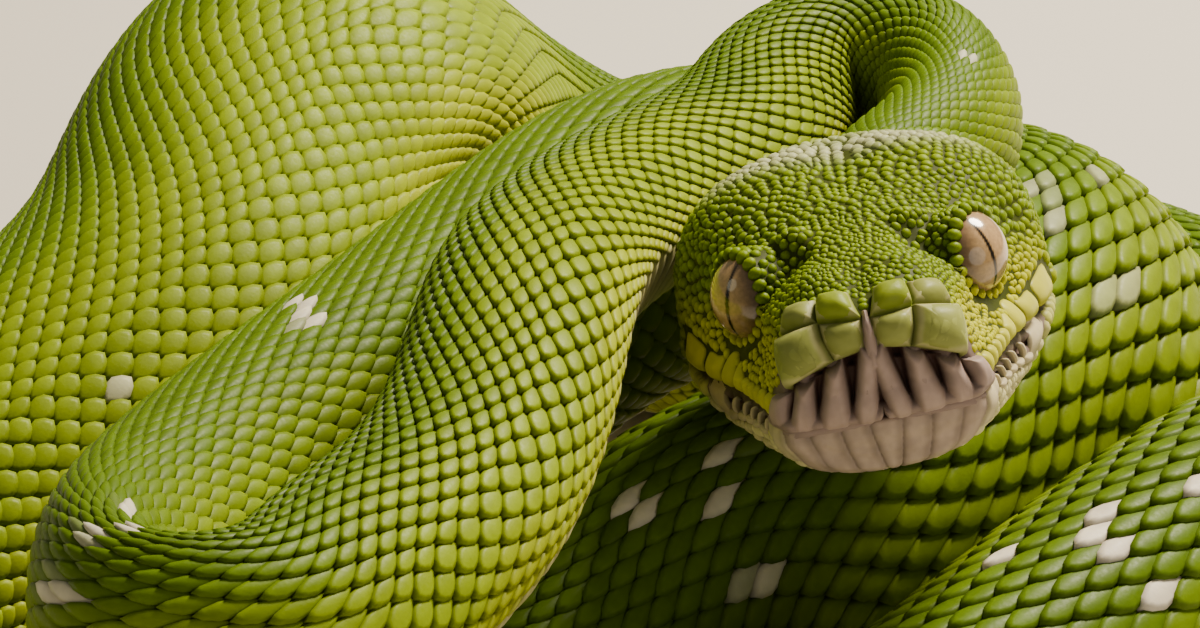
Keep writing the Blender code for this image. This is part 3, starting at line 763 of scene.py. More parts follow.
def fan_template(spokes, radii):
    """Faces of a disc: a middle point, then a ring of spokes at each radius."""
    k = np.arange(spokes)
    nxt = (k + 1) % spokes
    faces = [np.stack([np.zeros(spokes, int), 1 + k, 1 + nxt], -1)]
    for r in range(len(radii) - 1):
        a, b = 1 + r * spokes + k, 1 + r * spokes + nxt
        c, d = 1 + (r + 1) * spokes + nxt, 1 + (r + 1) * spokes + k
        faces += [np.stack([a, d, c], -1), np.stack([a, c, b], -1)]
    return np.concatenate(faces)


def spread(radii, first, second):
    """A disc's middle and rings: an outline's two reaches times each radius, and the radius of each point."""
    share = np.array(radii)[:, None]
    places = [np.concatenate([[0.0], (share * axis[None]).ravel()]) for axis in (first, second)]
    return (*places, np.concatenate([[0.0], np.repeat(radii, len(first))]))


def repeat_faces(template, points_each, count):
    """The template's faces once for each scale."""
    return (template[None] + (np.arange(count) * points_each)[:, None, None]).reshape(-1, 3)


# --- markings ----------------------------------------------------------------------------------------------
def value_noise(x, y, seed):
    """Smooth noise from 0 to 1: random values at whole numbers, eased between them."""
    table = np.random.default_rng(seed).random((64, 64))
    i, j = np.floor(x).astype(int), np.floor(y).astype(int)
    u, v = smoothstep(0, 1, x - i), smoothstep(0, 1, y - j)
    a, b = table[i % 64, j % 64], table[(i + 1) % 64, j % 64]
    c, d = table[i % 64, (j + 1) % 64], table[(i + 1) % 64, (j + 1) % 64]
    return (a * (1 - u) + b * u) * (1 - v) + (c * (1 - u) + d * u) * v


def mix(first, second, share):
    """Blend of two colours by a share array."""
    share = np.asarray(share)[..., None]
    return first * (1 - share) + second * share


def white_share(length, angle):
    """How white a place is: each group's scales lie on a golden-angle spiral about the group's middle, with
    steps of about one scale's length, and each mark fades at its edge."""
    half = np.interp(length, snake.route.length, snake.route.width)
    most = np.zeros(np.broadcast(length, angle).shape)
    for place, degrees, count, white in WHITE_GROUPS:
        pitch = snake.scale_length(snake.nape + place, 1.0)
        for k in range(count):
            reach, turn = pitch * math.sqrt(k), k * GOLDEN_ANGLE
            along = length - snake.nape - place - reach * math.cos(turn)
            about = np.mod(angle - math.radians(degrees) + math.pi, TAU) - math.pi
            away = np.hypot(along, about * half - reach * math.sin(turn)) / (MARK_SHARE * pitch)
            most = np.maximum(most, white * (1.0 - smoothstep(0.85, 1.0, away)))
    return most


def body_colour(colours, length, angle):
    """Green back, yellower flank and cream belly by the angle from the spine, with slow cloudy changes."""
    turn = np.abs(np.mod(angle + math.pi, TAU) - math.pi)
    back, flank, low, belly = map(rgb, (colours.back, colours.flank, colours.low_flank, colours.belly))
    cloud = value_noise(length / 9.0, angle * 3.0, SEED) - 0.5
    tone = mix(back, flank, smoothstep(0.5, 1.5, turn + 0.5 * cloud))
    tone = mix(tone, low, smoothstep(1.75, 2.45, turn + 0.3 * cloud))
    tone = mix(tone, belly, smoothstep(2.45, 2.7, turn))
    tone = mix(tone, rgb(colours.spot), white_share(length, angle))
    return tone * (0.86 + 0.28 * value_noise(length / 31.0, angle * 1.3, SEED + 1))[..., None]


# --- materials ---------------------------------------------------------------------------------------------
def add_node(tree, kind, settings=None, **inputs):
    """Add a node, set its properties, then set or link each named input."""
    node = tree.nodes.new(kind)
    for key, value in (settings or {}).items():
        setattr(node, key, value)
    for key, value in inputs.items():
        socket = node.inputs[key.replace("_", " ")]
        if isinstance(value, bpy.types.NodeSocket):
            tree.links.new(value, socket)
        else:
            socket.default_value = value
    return node


def blank_material(name):
    """A material with an empty node tree, its shader and its output."""
    material = bpy.data.materials.new(name)
    material.use_nodes = True
    tree = material.node_tree
    tree.nodes.clear()
    shader = add_node(tree, "ShaderNodeBsdfPrincipled")
    output = add_node(tree, "ShaderNodeOutputMaterial")
    tree.links.new(shader.outputs["BSDF"], output.inputs["Surface"])
    return material, tree, shader


def scale_keratin(name, rough, grain_mm, darken):
    """Thin clear keratin over pigmented skin: satin gloss, faint cloudiness and fine wrinkles."""
    material, tree, shader = blank_material(name)
    place = add_node(tree, "ShaderNodeTexCoord").outputs["Object"]
    coat = add_node(tree, "ShaderNodeAttribute", {"attribute_name": "Coat"}).outputs["Color"]
    cloud = add_node(tree, "ShaderNodeTexNoise", Vector=place, Scale=1.0 / (grain_mm * 6 * MM), Detail=4.0)
    fine = add_node(tree, "ShaderNodeTexNoise", Vector=place, Scale=1.0 / (grain_mm * MM), Detail=3.0)
    value = add_node(tree, "ShaderNodeMapRange", None, Value=cloud.outputs["Fac"], From_Min=0.3, From_Max=0.7,
                     To_Min=1.0 - darken, To_Max=1.0 + darken)
    tint = add_node(tree, "ShaderNodeHueSaturation", None, Color=coat, Value=value.outputs["Result"])
    tree.links.new(tint.outputs["Color"], shader.inputs["Base Color"])
    gloss = add_node(tree, "ShaderNodeMapRange", None, Value=fine.outputs["Fac"], From_Min=0.3, From_Max=0.7,
                     To_Min=rough - 0.06, To_Max=rough + 0.08)
    tree.links.new(gloss.outputs["Result"], shader.inputs["Roughness"])
    relief = add_node(tree, "ShaderNodeBump", None, Strength=0.18, Distance=0.0001,
                      Height=fine.outputs["Fac"])
    tree.links.new(relief.outputs["Normal"], shader.inputs["Normal"])
    shader.inputs["IOR"].default_value = 1.45
    shader.inputs["Specular IOR Level"].default_value = 0.16
    shader.inputs["Subsurface Weight"].default_value = 0.12
    shader.inputs["Subsurface Radius"].default_value = (0.9, 1.0, 0.3)
    shader.inputs["Subsurface Scale"].default_value = 0.0008
    return material


# --- operators ---------------------------------------------------------------------------------------------
class SkinOperator(bpy.types.Operator):
    """Bare skin from snout to tail tip, under the scales by their thickness"""

    bl_idname = "tree_python.skin"
    bl_label = "Skin"

    def execute(self, context):
        sizes, colours = context.scene.python_sizes, context.scene.python_colours
        deep = pits(snake.head_axes)
        head = snake.head.points - (SKIN_DEPTH + deep)[..., None] * snake.head.normals
        lengths = snake.body.rows[4::BODY_ROW_STEP]
        pick = np.arange(0, COLUMNS, BODY_COLUMN_STEP)
        body, out = snake.body.points[4::BODY_ROW_STEP, pick], snake.body.normals[4::BODY_ROW_STEP, pick]
        depth = sizes.relief_share * snake.scale_length(lengths, sizes.row_share)
        depth = np.minimum(depth, 0.3 * np.interp(lengths, snake.route.length, snake.route.width))
        eased = SKIN_DEPTH + (depth - SKIN_DEPTH) * smoothstep(0.0, 12.0, lengths - lengths[0])
        body = body - eased[:, None, None] * out
        # the ends close on a middle point, and the head's fine ring is sewn to the body's coarse one
        count, small = head.shape[1], len(pick)
        points = np.concatenate([head.reshape(-1, 3), body.reshape(-1, 3),
                                 head[:1].mean(axis=1), body[-1:].mean(axis=1)])
        start = len(head) * count
        faces = [grid_faces(len(head), count), grid_faces(len(body), small) + start]
        k = np.arange(small)
        edge = start - count
        for step in range(BODY_COLUMN_STEP):
            a = edge + (k * BODY_COLUMN_STEP + step) % count
            b = edge + (k * BODY_COLUMN_STEP + step + 1) % count
            c = start + (k if step < 3 else (k + 1) % small)
            faces.append(np.stack([a, b, c], -1))
        a = edge + (k * BODY_COLUMN_STEP + 3) % count
        faces.append(np.stack([a, start + (k + 1) % small, start + k], -1))
        first, last = len(points) - 2, start + (len(body) - 1) * small
        j = np.arange(count)
        faces.append(np.stack([np.full(count, first), (j + 1) % count, j], -1))
        faces.append(np.stack([np.full(small, first + 1), last + k, last + (k + 1) % small], -1))
        piece = add_piece("skin", to_world(points), np.concatenate(faces),
                          scale_keratin("Bare skin, matt and folded", 0.55, 0.5, 0.1))
        angle = np.linspace(0.0, TAU, count, endpoint=False)
        head_tone = skin_colour(colours, snake.head_axes, deep).reshape(-1, 3)
        # painted shade: the body's bare skin is the scales' colour darkened to about a third, for the gaps
        # between the scales
        body_tone = body_colour(colours, lengths[:, None], angle[pick][None]).reshape(-1, 3) * 0.35
        add_colour(piece, np.concatenate([head_tone, body_tone, head_tone[:2]]))
        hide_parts(*FLESH)
        return {"FINISHED"}


def skin_colour(colours, p, deep):
    """Bare skin of the head: dark green between grains and halved brown-mauve about the lips, both kept dark
    as painted shade in the gaps between grains and plates, and darker in the pits as painted shade.
    """
    azimuth, elevation = face_place(p)
    front = (1.0 - smoothstep(46.0, 56.0, np.abs(azimuth))) * (1.0 - smoothstep(22.0, 30.0, elevation))
    low = 1.0 - smoothstep(-0.8, 0.3, p[..., 2] - mouth_height(p[..., 1]))
    # painted shade: bare skin dark green, and the halved mauve about the front of the mouth
    tone = mix(rgb(colours.gap), rgb(colours.muzzle) * 0.5, np.maximum(front, low))
    # painted shade: darker in the pits and nostrils by their depth
    return mix(tone, rgb(colours.pit), smoothstep(0.1, 0.7, deep))


def scale_outline(spokes, root_power, tip_power):
    """Along and across reach of each spoke on a diamond: (|cos|^n + |sin|^n)^(-1/n), rounder at its tip."""
    turn = np.linspace(0.0, TAU, spokes, endpoint=False)
    power = np.where(np.cos(turn) > 0.01, tip_power, root_power)
    reach = (np.abs(np.cos(turn)) ** power + np.abs(np.sin(turn)) ** power) ** (-1.0 / power)
    return reach * np.cos(turn), reach * np.sin(turn)


class BodyScalesOperator(bpy.types.Operator):
    """Lapped diamond scales in slanting rows, laid from the nape to the tail tip"""

    bl_idname = "tree_python.body_scales"
    bl_label = "Body Scales"

    def execute(self, context):
        sizes, colours = context.scene.python_sizes, context.scene.python_colours
        grid = np.arange(snake.nape - 2.0, snake.tail, 0.25)
        count_up = np.cumsum(0.25 / snake.scale_length(grid, sizes.row_share))
        rows = np.arange(0.0, count_up[-1] - 1.0, 0.5)
        middles = np.interp(rows, count_up, grid)
        step = 2.0 * BELLY_EDGE / snake.scales_across(middles, sizes.across)[:, None]
        index = np.arange(-24, 25)
        shift = (np.arange(len(rows)) % 2) * 0.5
        angle = step * (index[None] + shift[:, None])
        inside = np.abs(angle) < BELLY_EDGE - 0.3 * step
        length = np.broadcast_to(middles[:, None], angle.shape)[inside]
        step = np.broadcast_to(step, angle.shape)[inside]
        angle = angle[inside]
        angle = angle - 0.06 * np.sin(2.0 * angle)
        spokes, radii = 10, (0.62, 0.94, 1.03)
        p, q, ring = spread(radii, *scale_outline(spokes, 1.2, 1.55))
        scale = snake.scale_length(length, sizes.row_share)
        thick = sizes.relief_share * scale
        high = 0.32 * (1.0 - ring ** 2.4) + 0.80 * (0.5 + 0.5 * p)
        high = np.where(ring > 1.0, -0.4, high)
        reach = p[None] + 0.12 * np.maximum(p[None], 0.0) + 0.02
        at_length = length[:, None] + 0.50 * scale[:, None] * reach
        at_angle = angle[:, None] + 0.5 * step[:, None] * q[None] * 0.98
        point, out = snake.body.sample(np.clip(at_length, snake.body.rows[0], snake.body.rows[-1]), at_angle)
        point = point + (thick[:, None] * (high[None] - 0.95))[..., None] * out
        tone = body_colour(colours, length, angle)
        rng = np.random.default_rng(SEED)
        tone = tone * (0.92 + 0.16 * rng.random(len(tone)))[:, None]
        # painted shade: each scale's skirt darkened to a fifth and its edge ring a little, and its root end
        # darker than its tip, as if under the scale before it
        tint = np.where(ring > 1.0, 0.2, np.where(ring > 0.9, 0.78, 1.0)) * (0.86 + 0.16 * p)
        tones = tone[:, None] * tint[None, :, None]
        template = fan_template(spokes, radii)[:, ::-1]
        each = len(p)
        u, v = body_map(length, 0.1 + 0.19 * angle / TAU)
        uv = np.stack([u[:, None] + 0.0014 * q[None], v[:, None] + 0.0014 * p[None]], -1)
        groups = math.ceil(len(length) / SCALES_IN_PIECE)
        material = scale_keratin("Body scale keratin, satin", 0.46, 0.35, 0.12)
        for part, chosen in enumerate(np.array_split(np.arange(len(length)), groups)):
            piece = add_piece(f"scales_body_{part + 1}", to_world(point[chosen].reshape(-1, 3)),
                              repeat_faces(template, each, len(chosen)), material)
            add_colour(piece, tones[chosen].reshape(-1, 3))
            add_map(piece, uv[chosen].reshape(-1, 2))
        return {"FINISHED"}


class BellyScutesOperator(bpy.types.Operator):
    """Broad lapped scutes across the belly, one for each row of scales"""

    bl_idname = "tree_python.belly_scutes"
    bl_label = "Belly Scutes"

    def execute(self, context):
        sizes, colours = context.scene.python_sizes, context.scene.python_colours
        grid = np.arange(snake.nape - 2.0, snake.tail, 0.25)
        count_up = np.cumsum(0.25 / snake.scale_length(grid, sizes.row_share))
        middles = np.interp(np.arange(0.5, count_up[-1] - 1.0, 1.0), count_up, grid)
        scale = snake.scale_length(middles, sizes.row_share)
        thick = sizes.relief_share * scale
        half = math.pi - BELLY_EDGE + 0.07
        across = np.linspace(-1.0, 1.0, 15)
        along = np.array([-0.62, -0.55, -0.2, 0.2, 0.48, 0.56])
        high = np.array([-0.5, 0.25, 0.6, 0.85, 0.8, -0.3])
        a, b = np.meshgrid(along, across, indexing="ij")
        lift = np.broadcast_to(high[:, None], a.shape) - 0.35 * np.abs(b) ** 6
        at_length = middles[:, None, None] + scale[:, None, None] * (a + 0.05 * (1 - b ** 2))[None]
        at_angle = np.broadcast_to(math.pi + half * b[None], at_length.shape)
        point, out = snake.body.sample(np.clip(at_length, snake.body.rows[0], snake.body.rows[-1]), at_angle)
        point = point + (thick[:, None, None] * (lift[None] - 0.95))[..., None] * out
        rows, columns = a.shape
        i, j = np.meshgrid(np.arange(rows - 1), np.arange(columns - 1), indexing="ij")
        c = i * columns + j
        template = np.concatenate([np.stack([c, c + 1, c + columns + 1], -1).reshape(-1, 3),
                                   np.stack([c, c + columns + 1, c + columns], -1).reshape(-1, 3)])
        piece = add_piece("belly_scutes", to_world(point.reshape(-1, 3)),
                          repeat_faces(template, rows * columns, len(middles)),
                          scale_keratin("Belly scute keratin, smooth satin", 0.38, 0.6, 0.08))
        # painted shade: the parts of each scute that tuck under its neighbours are darkened to three tenths
        tone = body_colour(colours, at_length, at_angle) * np.where(lift < 0.0, 0.3, 1.0)[None, ..., None]
        add_colour(piece, tone.reshape(-1, 3))
        u, v = body_map(middles, 0.006)
        uv = np.stack([u[:, None, None] + 0.0014 * b[None], v[:, None, None] + 0.0014 * (a * 1.8)[None]], -1)
        add_map(piece, uv.reshape(-1, 2))
        return {"FINISHED"}


def even_sites(points, weights, count, rounds, rng):
    """Sites spread evenly: each moves to the weighted middle of the points nearest to it, several times."""
    chosen = rng.choice(len(points), count, replace=False, p=weights / weights.sum())
    sites = points[chosen].astype(np.float32)
    cloud = points.astype(np.float32)
    for _ in range(rounds):
        owner = np.empty(len(cloud), dtype=int)
        size = (sites ** 2).sum(axis=1)
        for start in range(0, len(cloud), 6000):
            part = cloud[start:start + 6000]
            owner[start:start + 6000] = np.argmin(size[None] - 2.0 * part @ sites.T, axis=1)
        total = np.bincount(owner, weights, count)
        fresh = np.stack([np.bincount(owner, weights * cloud[:, c], count) for c in range(3)], axis=1)
        fresh = fresh / np.maximum(total, 1e-9)[:, None]
        sites = np.where(total[:, None] > 0, fresh, sites).astype(np.float32)
    # back onto the surface: the table point nearest to each site
    nearest = np.empty(count, dtype=int)
    size = (cloud ** 2).sum(axis=1)
    for start in range(0, count, 400):
        nearest[start:start + 400] = np.argmin(size[None] - 2.0 * sites[start:start + 400] @ cloud.T, axis=1)
    return np.unique(nearest)


def cell_reach(sites, normals, toward, spokes, neighbours=10):
    """Reach of each site's cell along each spoke: half way to the nearest neighbour, measured on the flat."""
    flat = sites.astype(np.float32)
    square = (flat ** 2).sum(axis=1)
    distance = square[:, None] + square[None] - 2.0 * flat @ flat.T
    np.fill_diagonal(distance, 1e9)
    near = np.argpartition(distance, neighbours, axis=1)[:, :neighbours]
    first = unit(toward - (toward * normals).sum(axis=1, keepdims=True) * normals)
    second = np.cross(normals, first)
    turn = np.linspace(0.0, TAU, spokes, endpoint=False)
    spoke = np.cos(turn)[None, :, None] * first[:, None] + np.sin(turn)[None, :, None] * second[:, None]
    gap = sites[near] - sites[:, None]
    along = np.einsum("nkc,nsc->nks", gap, spoke)
    span = (gap ** 2).sum(axis=2)[..., None]
    reach = np.where(along > 1e-4, 0.5 * span / np.maximum(along, 1e-4), 1e3)
    soft = (reach ** -6).sum(axis=1) ** (-1.0 / 6.0)
    return np.minimum(soft, 0.9 * np.median(np.sqrt(span[..., 0]), axis=1)[:, None]), spoke


class HeadScalesOperator(bpy.types.Operator):
    """Small grains over the head, evenly spread, smallest on the face and larger on the cheeks and throat"""

    bl_idname = "tree_python.head_scales"
    bl_label = "Head Scales"

    def execute(self, context):
        sizes, colours = context.scene.python_sizes, context.scene.python_colours
        rng = np.random.default_rng(SEED)
        axes = snake.head_axes
        y, z = axes[..., 1], axes[..., 2]
        down = np.linalg.norm(np.gradient(axes, axis=0), axis=2)
        turn = np.linalg.norm(np.roll(axes, -1, axis=1) - axes, axis=2)
        area = down * turn
        gap = z - mouth_height(y)
        grain = sizes.face_grain / MM + (sizes.grain - sizes.face_grain) / MM * smoothstep(-16.0, 6.0, y)
        grain = grain + 0.5 * smoothstep(-4.0, -9.0, z) + 0.3 * smoothstep(14.0, 22.0, y)
        grain = grain + 0.9 * smoothstep(-1.5, -5.0, gap) * smoothstep(-8.0, -20.0, y)
        bare = (np.abs(gap) < 0.5) & (y < 8.0)
        bare |= (y > 22.0)
        for sign in (-1.0, 1.0):
            away = axes - mirrored(EYE_CENTRE, sign)
            reach = np.linalg.norm(away, axis=-1)
            facing = (away / reach[..., None]) @ unit(mirrored(LID_FACING, sign))
            bare |= (reach < 6.3) & (facing > math.cos(math.asin(LID_RADIUS / EYE_RADIUS) + 0.30))
        azimuth, elevation = face_place(axes)
        for plate in face_plates():
            bare |= inside_plate(azimuth, elevation, plate, 0.9)
        bare |= pits(axes) > 0.12
        bare |= (np.abs(azimuth) < 46.0) & (gap > -3.0) & (elevation < 30.0)
        weight = np.where(bare, 0.0, area / grain ** 2)
        count = int(weight.sum() / 0.866)
        flat, weights = axes.reshape(-1, 3), weight.ravel()
        allowed = np.flatnonzero(weights > 0)
        spread_out = even_sites(flat[allowed], weights[allowed], min(count, MOST_GRAINS), EVENING_ROUNDS, rng)
        picked = allowed[spread_out]
        sites = flat[picked]
        normals = surface_normals(axes).reshape(-1, 3)[picked]
        toward = np.broadcast_to(np.array([0.0, 1.0, 0.15]), sites.shape)
        spokes, radii = 9, (0.55, 0.9, 1.0)
        reach, spoke = cell_reach(sites, normals, toward, spokes)
        reach = np.minimum(reach, 0.62 * grain.ravel()[picked][:, None])
        size = reach.mean(axis=1)
        reach = 0.5 * reach + 0.5 * np.minimum(reach, 1.15 * size[:, None])
        ring = np.array(radii)
        high = np.array([0.62, 0.50, 0.16, -0.5])
        away = 0.97 * (ring[None, :, None] * reach[:, None])[..., None]
        disc = sites[:, None, None] + away * spoke[:, None]
        tilt = 0.22 * np.cos(np.linspace(0.0, TAU, spokes, endpoint=False))
        raised = np.where(high[1:] > 0, 1.0, 0.0)[None, :, None]
        lift = high[1:][None, :, None] + raised * ring[None, :, None] * tilt
        disc = disc + (size[:, None, None] * (lift * 0.9) - PLATE_SINK)[..., None] * normals[:, None, None]
        middle = sites + (0.9 * high[0] * size - PLATE_SINK)[:, None] * normals
        points = np.concatenate([middle[:, None], disc.reshape(len(sites), -1, 3)], axis=1)
        tone = head_colour(colours, sites) * (0.86 + 0.28 * rng.random(len(sites)))[:, None]
        # painted highlight and shade: each grain lighter in its middle, darker at its edge and dark on its
        # skirt
        shade = np.concatenate([[1.08], np.repeat([1.0, 0.72, 0.3], spokes)])
        tones = tone[:, None] * shade[None, :, None]
        template = fan_template(spokes, radii)
        each = points.shape[1]
        local = np.concatenate([np.zeros((1, 2)), (ring[:, None, None] * np.stack([
            np.sin(np.linspace(0.0, TAU, spokes, endpoint=False)),
            np.cos(np.linspace(0.0, TAU, spokes, endpoint=False))], -1)[None]).reshape(-1, 2)])
        uv = head_map(picked)[:, None] + 0.0015 * local[None]
        material = scale_keratin("Head scale keratin, satin grains", 0.45, 0.25, 0.12)
        upper = sites[:, 2] > mouth_height(sites[:, 1])
        for name, chosen in (("scales_crown", np.flatnonzero(upper & (sites[:, 1] > -6.0))),
                             ("scales_face", np.flatnonzero(upper & (sites[:, 1] <= -6.0))),
                             ("scales_throat", np.flatnonzero(~upper))):
            piece = add_piece(name, to_world(head_to_pile(points[chosen].reshape(-1, 3))),
                              repeat_faces(template, each, len(chosen)), material)
            add_colour(piece, tones[chosen].reshape(-1, 3))
            add_map(piece, uv[chosen].reshape(-1, 2))
        return {"FINISHED"}


def head_colour(colours, p):
    """Green crown with a painted highlight at its rear, yellow lores and lips, cream throat, by place in the
    head's axes.
    """
    back, flank, low = map(rgb, (colours.back, colours.flank, colours.low_flank))
    belly, lip = rgb(colours.belly), rgb(colours.lip)
    x, y, z = np.abs(p[..., 0]), p[..., 1], p[..., 2]
    tone = mix(back, flank, 0.35 + 0.4 * value_noise(x / 2.0 + 7.0, y / 2.5 + 40.0, SEED + 3))
    gap = z - mouth_height(y)
    side = 1.0 - smoothstep(5.0, 9.5, gap)
    tone = mix(tone, lip, side * smoothstep(14.0, -8.0, y) * 0.95)
    # painted highlight: the rear of the crown's top paled towards the spots' white
    tone = mix(tone, rgb(colours.spot), 0.40 * smoothstep(8.0, 15.0, y) * smoothstep(5.0, 8.5, z))
    tone = mix(tone, low, (1.0 - smoothstep(-1.0, 3.0, gap)) * 0.7)
    return mix(tone, belly, smoothstep(0.5, -3.5, gap))


def face_plates():
    """Every plate of the face as kind, thickness and corners: the named ones and their twins, and both rows
    of lip plates along the mouth, which get smaller towards its corner."""
    plates = [ROSTRAL_STEM, MENTAL]
    for sign in (1.0, -1.0):
        for kind, thick, *corners in FACE_PLATES:
            plates.append((kind, thick, *[(sign * a, e) for a, e in corners]))
        for first, last in zip(SIDE_LABIALS[:-1], SIDE_LABIALS[1:]):
            high = 12.5 - 4.0 * (first - 50.0) / 90.0
            corners = ((first + 0.5, 0.6), (last - 0.5, 0.6), (last - 1.2, high), (first - 0.2, high))
            plates.append(("side_lip", 0.55, *[(sign * a, e) for a, e in corners]))
        for first, last in zip(LOWER_LABIALS[:-1], LOWER_LABIALS[1:]):
            if LOWER_PITS[0] <= first < LOWER_PITS[1]:
                rim = ((first + 0.4, -11.0), (last - 0.4, -11.0), (last - 0.4, -7.6), (first + 0.4, -7.6))
                wall = ((first - 0.9, -8.5), (first + 1.1, -8.5), (first + 0.9, -1.2), (first - 0.9, -1.2))
                plates.append(("lower_lip", 0.5, *[(sign * a, e) for a, e in rim]))
                plates.append(("lower_lip", 0.35, *[(sign * a, e) for a, e in wall]))
            else:
                high = (first + 0.1, 1.0), (last - 0.1, 1.0)
                deep = -34.0 + 23.0 * smoothstep(22.0, 52.0, first)
                corners = ((first - 4.5, deep), (last - 4.7, deep), high[1], high[0])
                kind, thick = ("chin", 0.18) if first < 40.0 else ("lower_lip", 0.35)
                plates.append((kind, thick, *[(sign * a, e) for a, e in corners]))
    return [(kind, thick, *[snake.face_corner(*corner) for corner in corners])
            for kind, thick, *corners in plates]


def in_turn(corners):
    """A plate's corners as an array, the same way round on both sides of the head."""
    corners = np.array(corners)
    return corners[::-1] if corners[:, 0].mean() < 0.0 else corners


def inside_plate(azimuth, elevation, plate, margin):
    """True inside a plate's outline, widened by a margin in degrees, on every side of its four edges."""
    corners = in_turn(plate[2:])
    inside = np.ones(azimuth.shape, dtype=bool)
    for a, b in zip(corners, np.roll(corners, -1, axis=0)):
        edge = b - a
        inside &= (edge[0] * (elevation - a[1]) - edge[1] * (azimuth - a[0])) > -margin * math.hypot(*edge)
    return inside


def plate_depth(azimuth, elevation, size, corners):
    """How far a place lies inside a plate's outline, in mm; below zero outside it."""
    corners = in_turn(corners)
    narrow = math.cos(math.radians(corners[:, 1].mean()))
    inside = np.full(azimuth.shape, 99.0)
    for a, b in zip(corners, np.roll(corners, -1, axis=0)):
        edge = (b - a) * (narrow, 1.0)
        away = edge[0] * (elevation - a[1]) - edge[1] * narrow * (azimuth - a[0])
        inside = np.minimum(inside, away / math.hypot(*edge))
    return inside * np.radians(size)


def front_relief(azimuth, elevation, size, plates):
    """Height of the joined front plates over the skin: each rises from its edge as a quarter round, the
    highest one counts, and between them the sheet falls away; with the depth inside that plate and its
    number."""
    high = np.full(azimuth.shape, SHEET_EDGE)
    depth, which = np.zeros_like(high), np.zeros(high.shape, dtype=int)
    for number, (kind, thick, *corners) in enumerate(plates):
        inside = plate_depth(azimuth, elevation, size, corners)
        share = np.clip(inside / PLATE_ROUND[kind], 0.0, 1.0)
        rise = np.where(inside > 0.0, thick * np.sqrt(1.0 - (1.0 - share) ** 2), 3.0 * inside)
        taken = rise > high
        high, depth = np.where(taken, rise, high), np.where(taken, inside, depth)
        which = np.where(taken, number, which)
    return high, depth, which


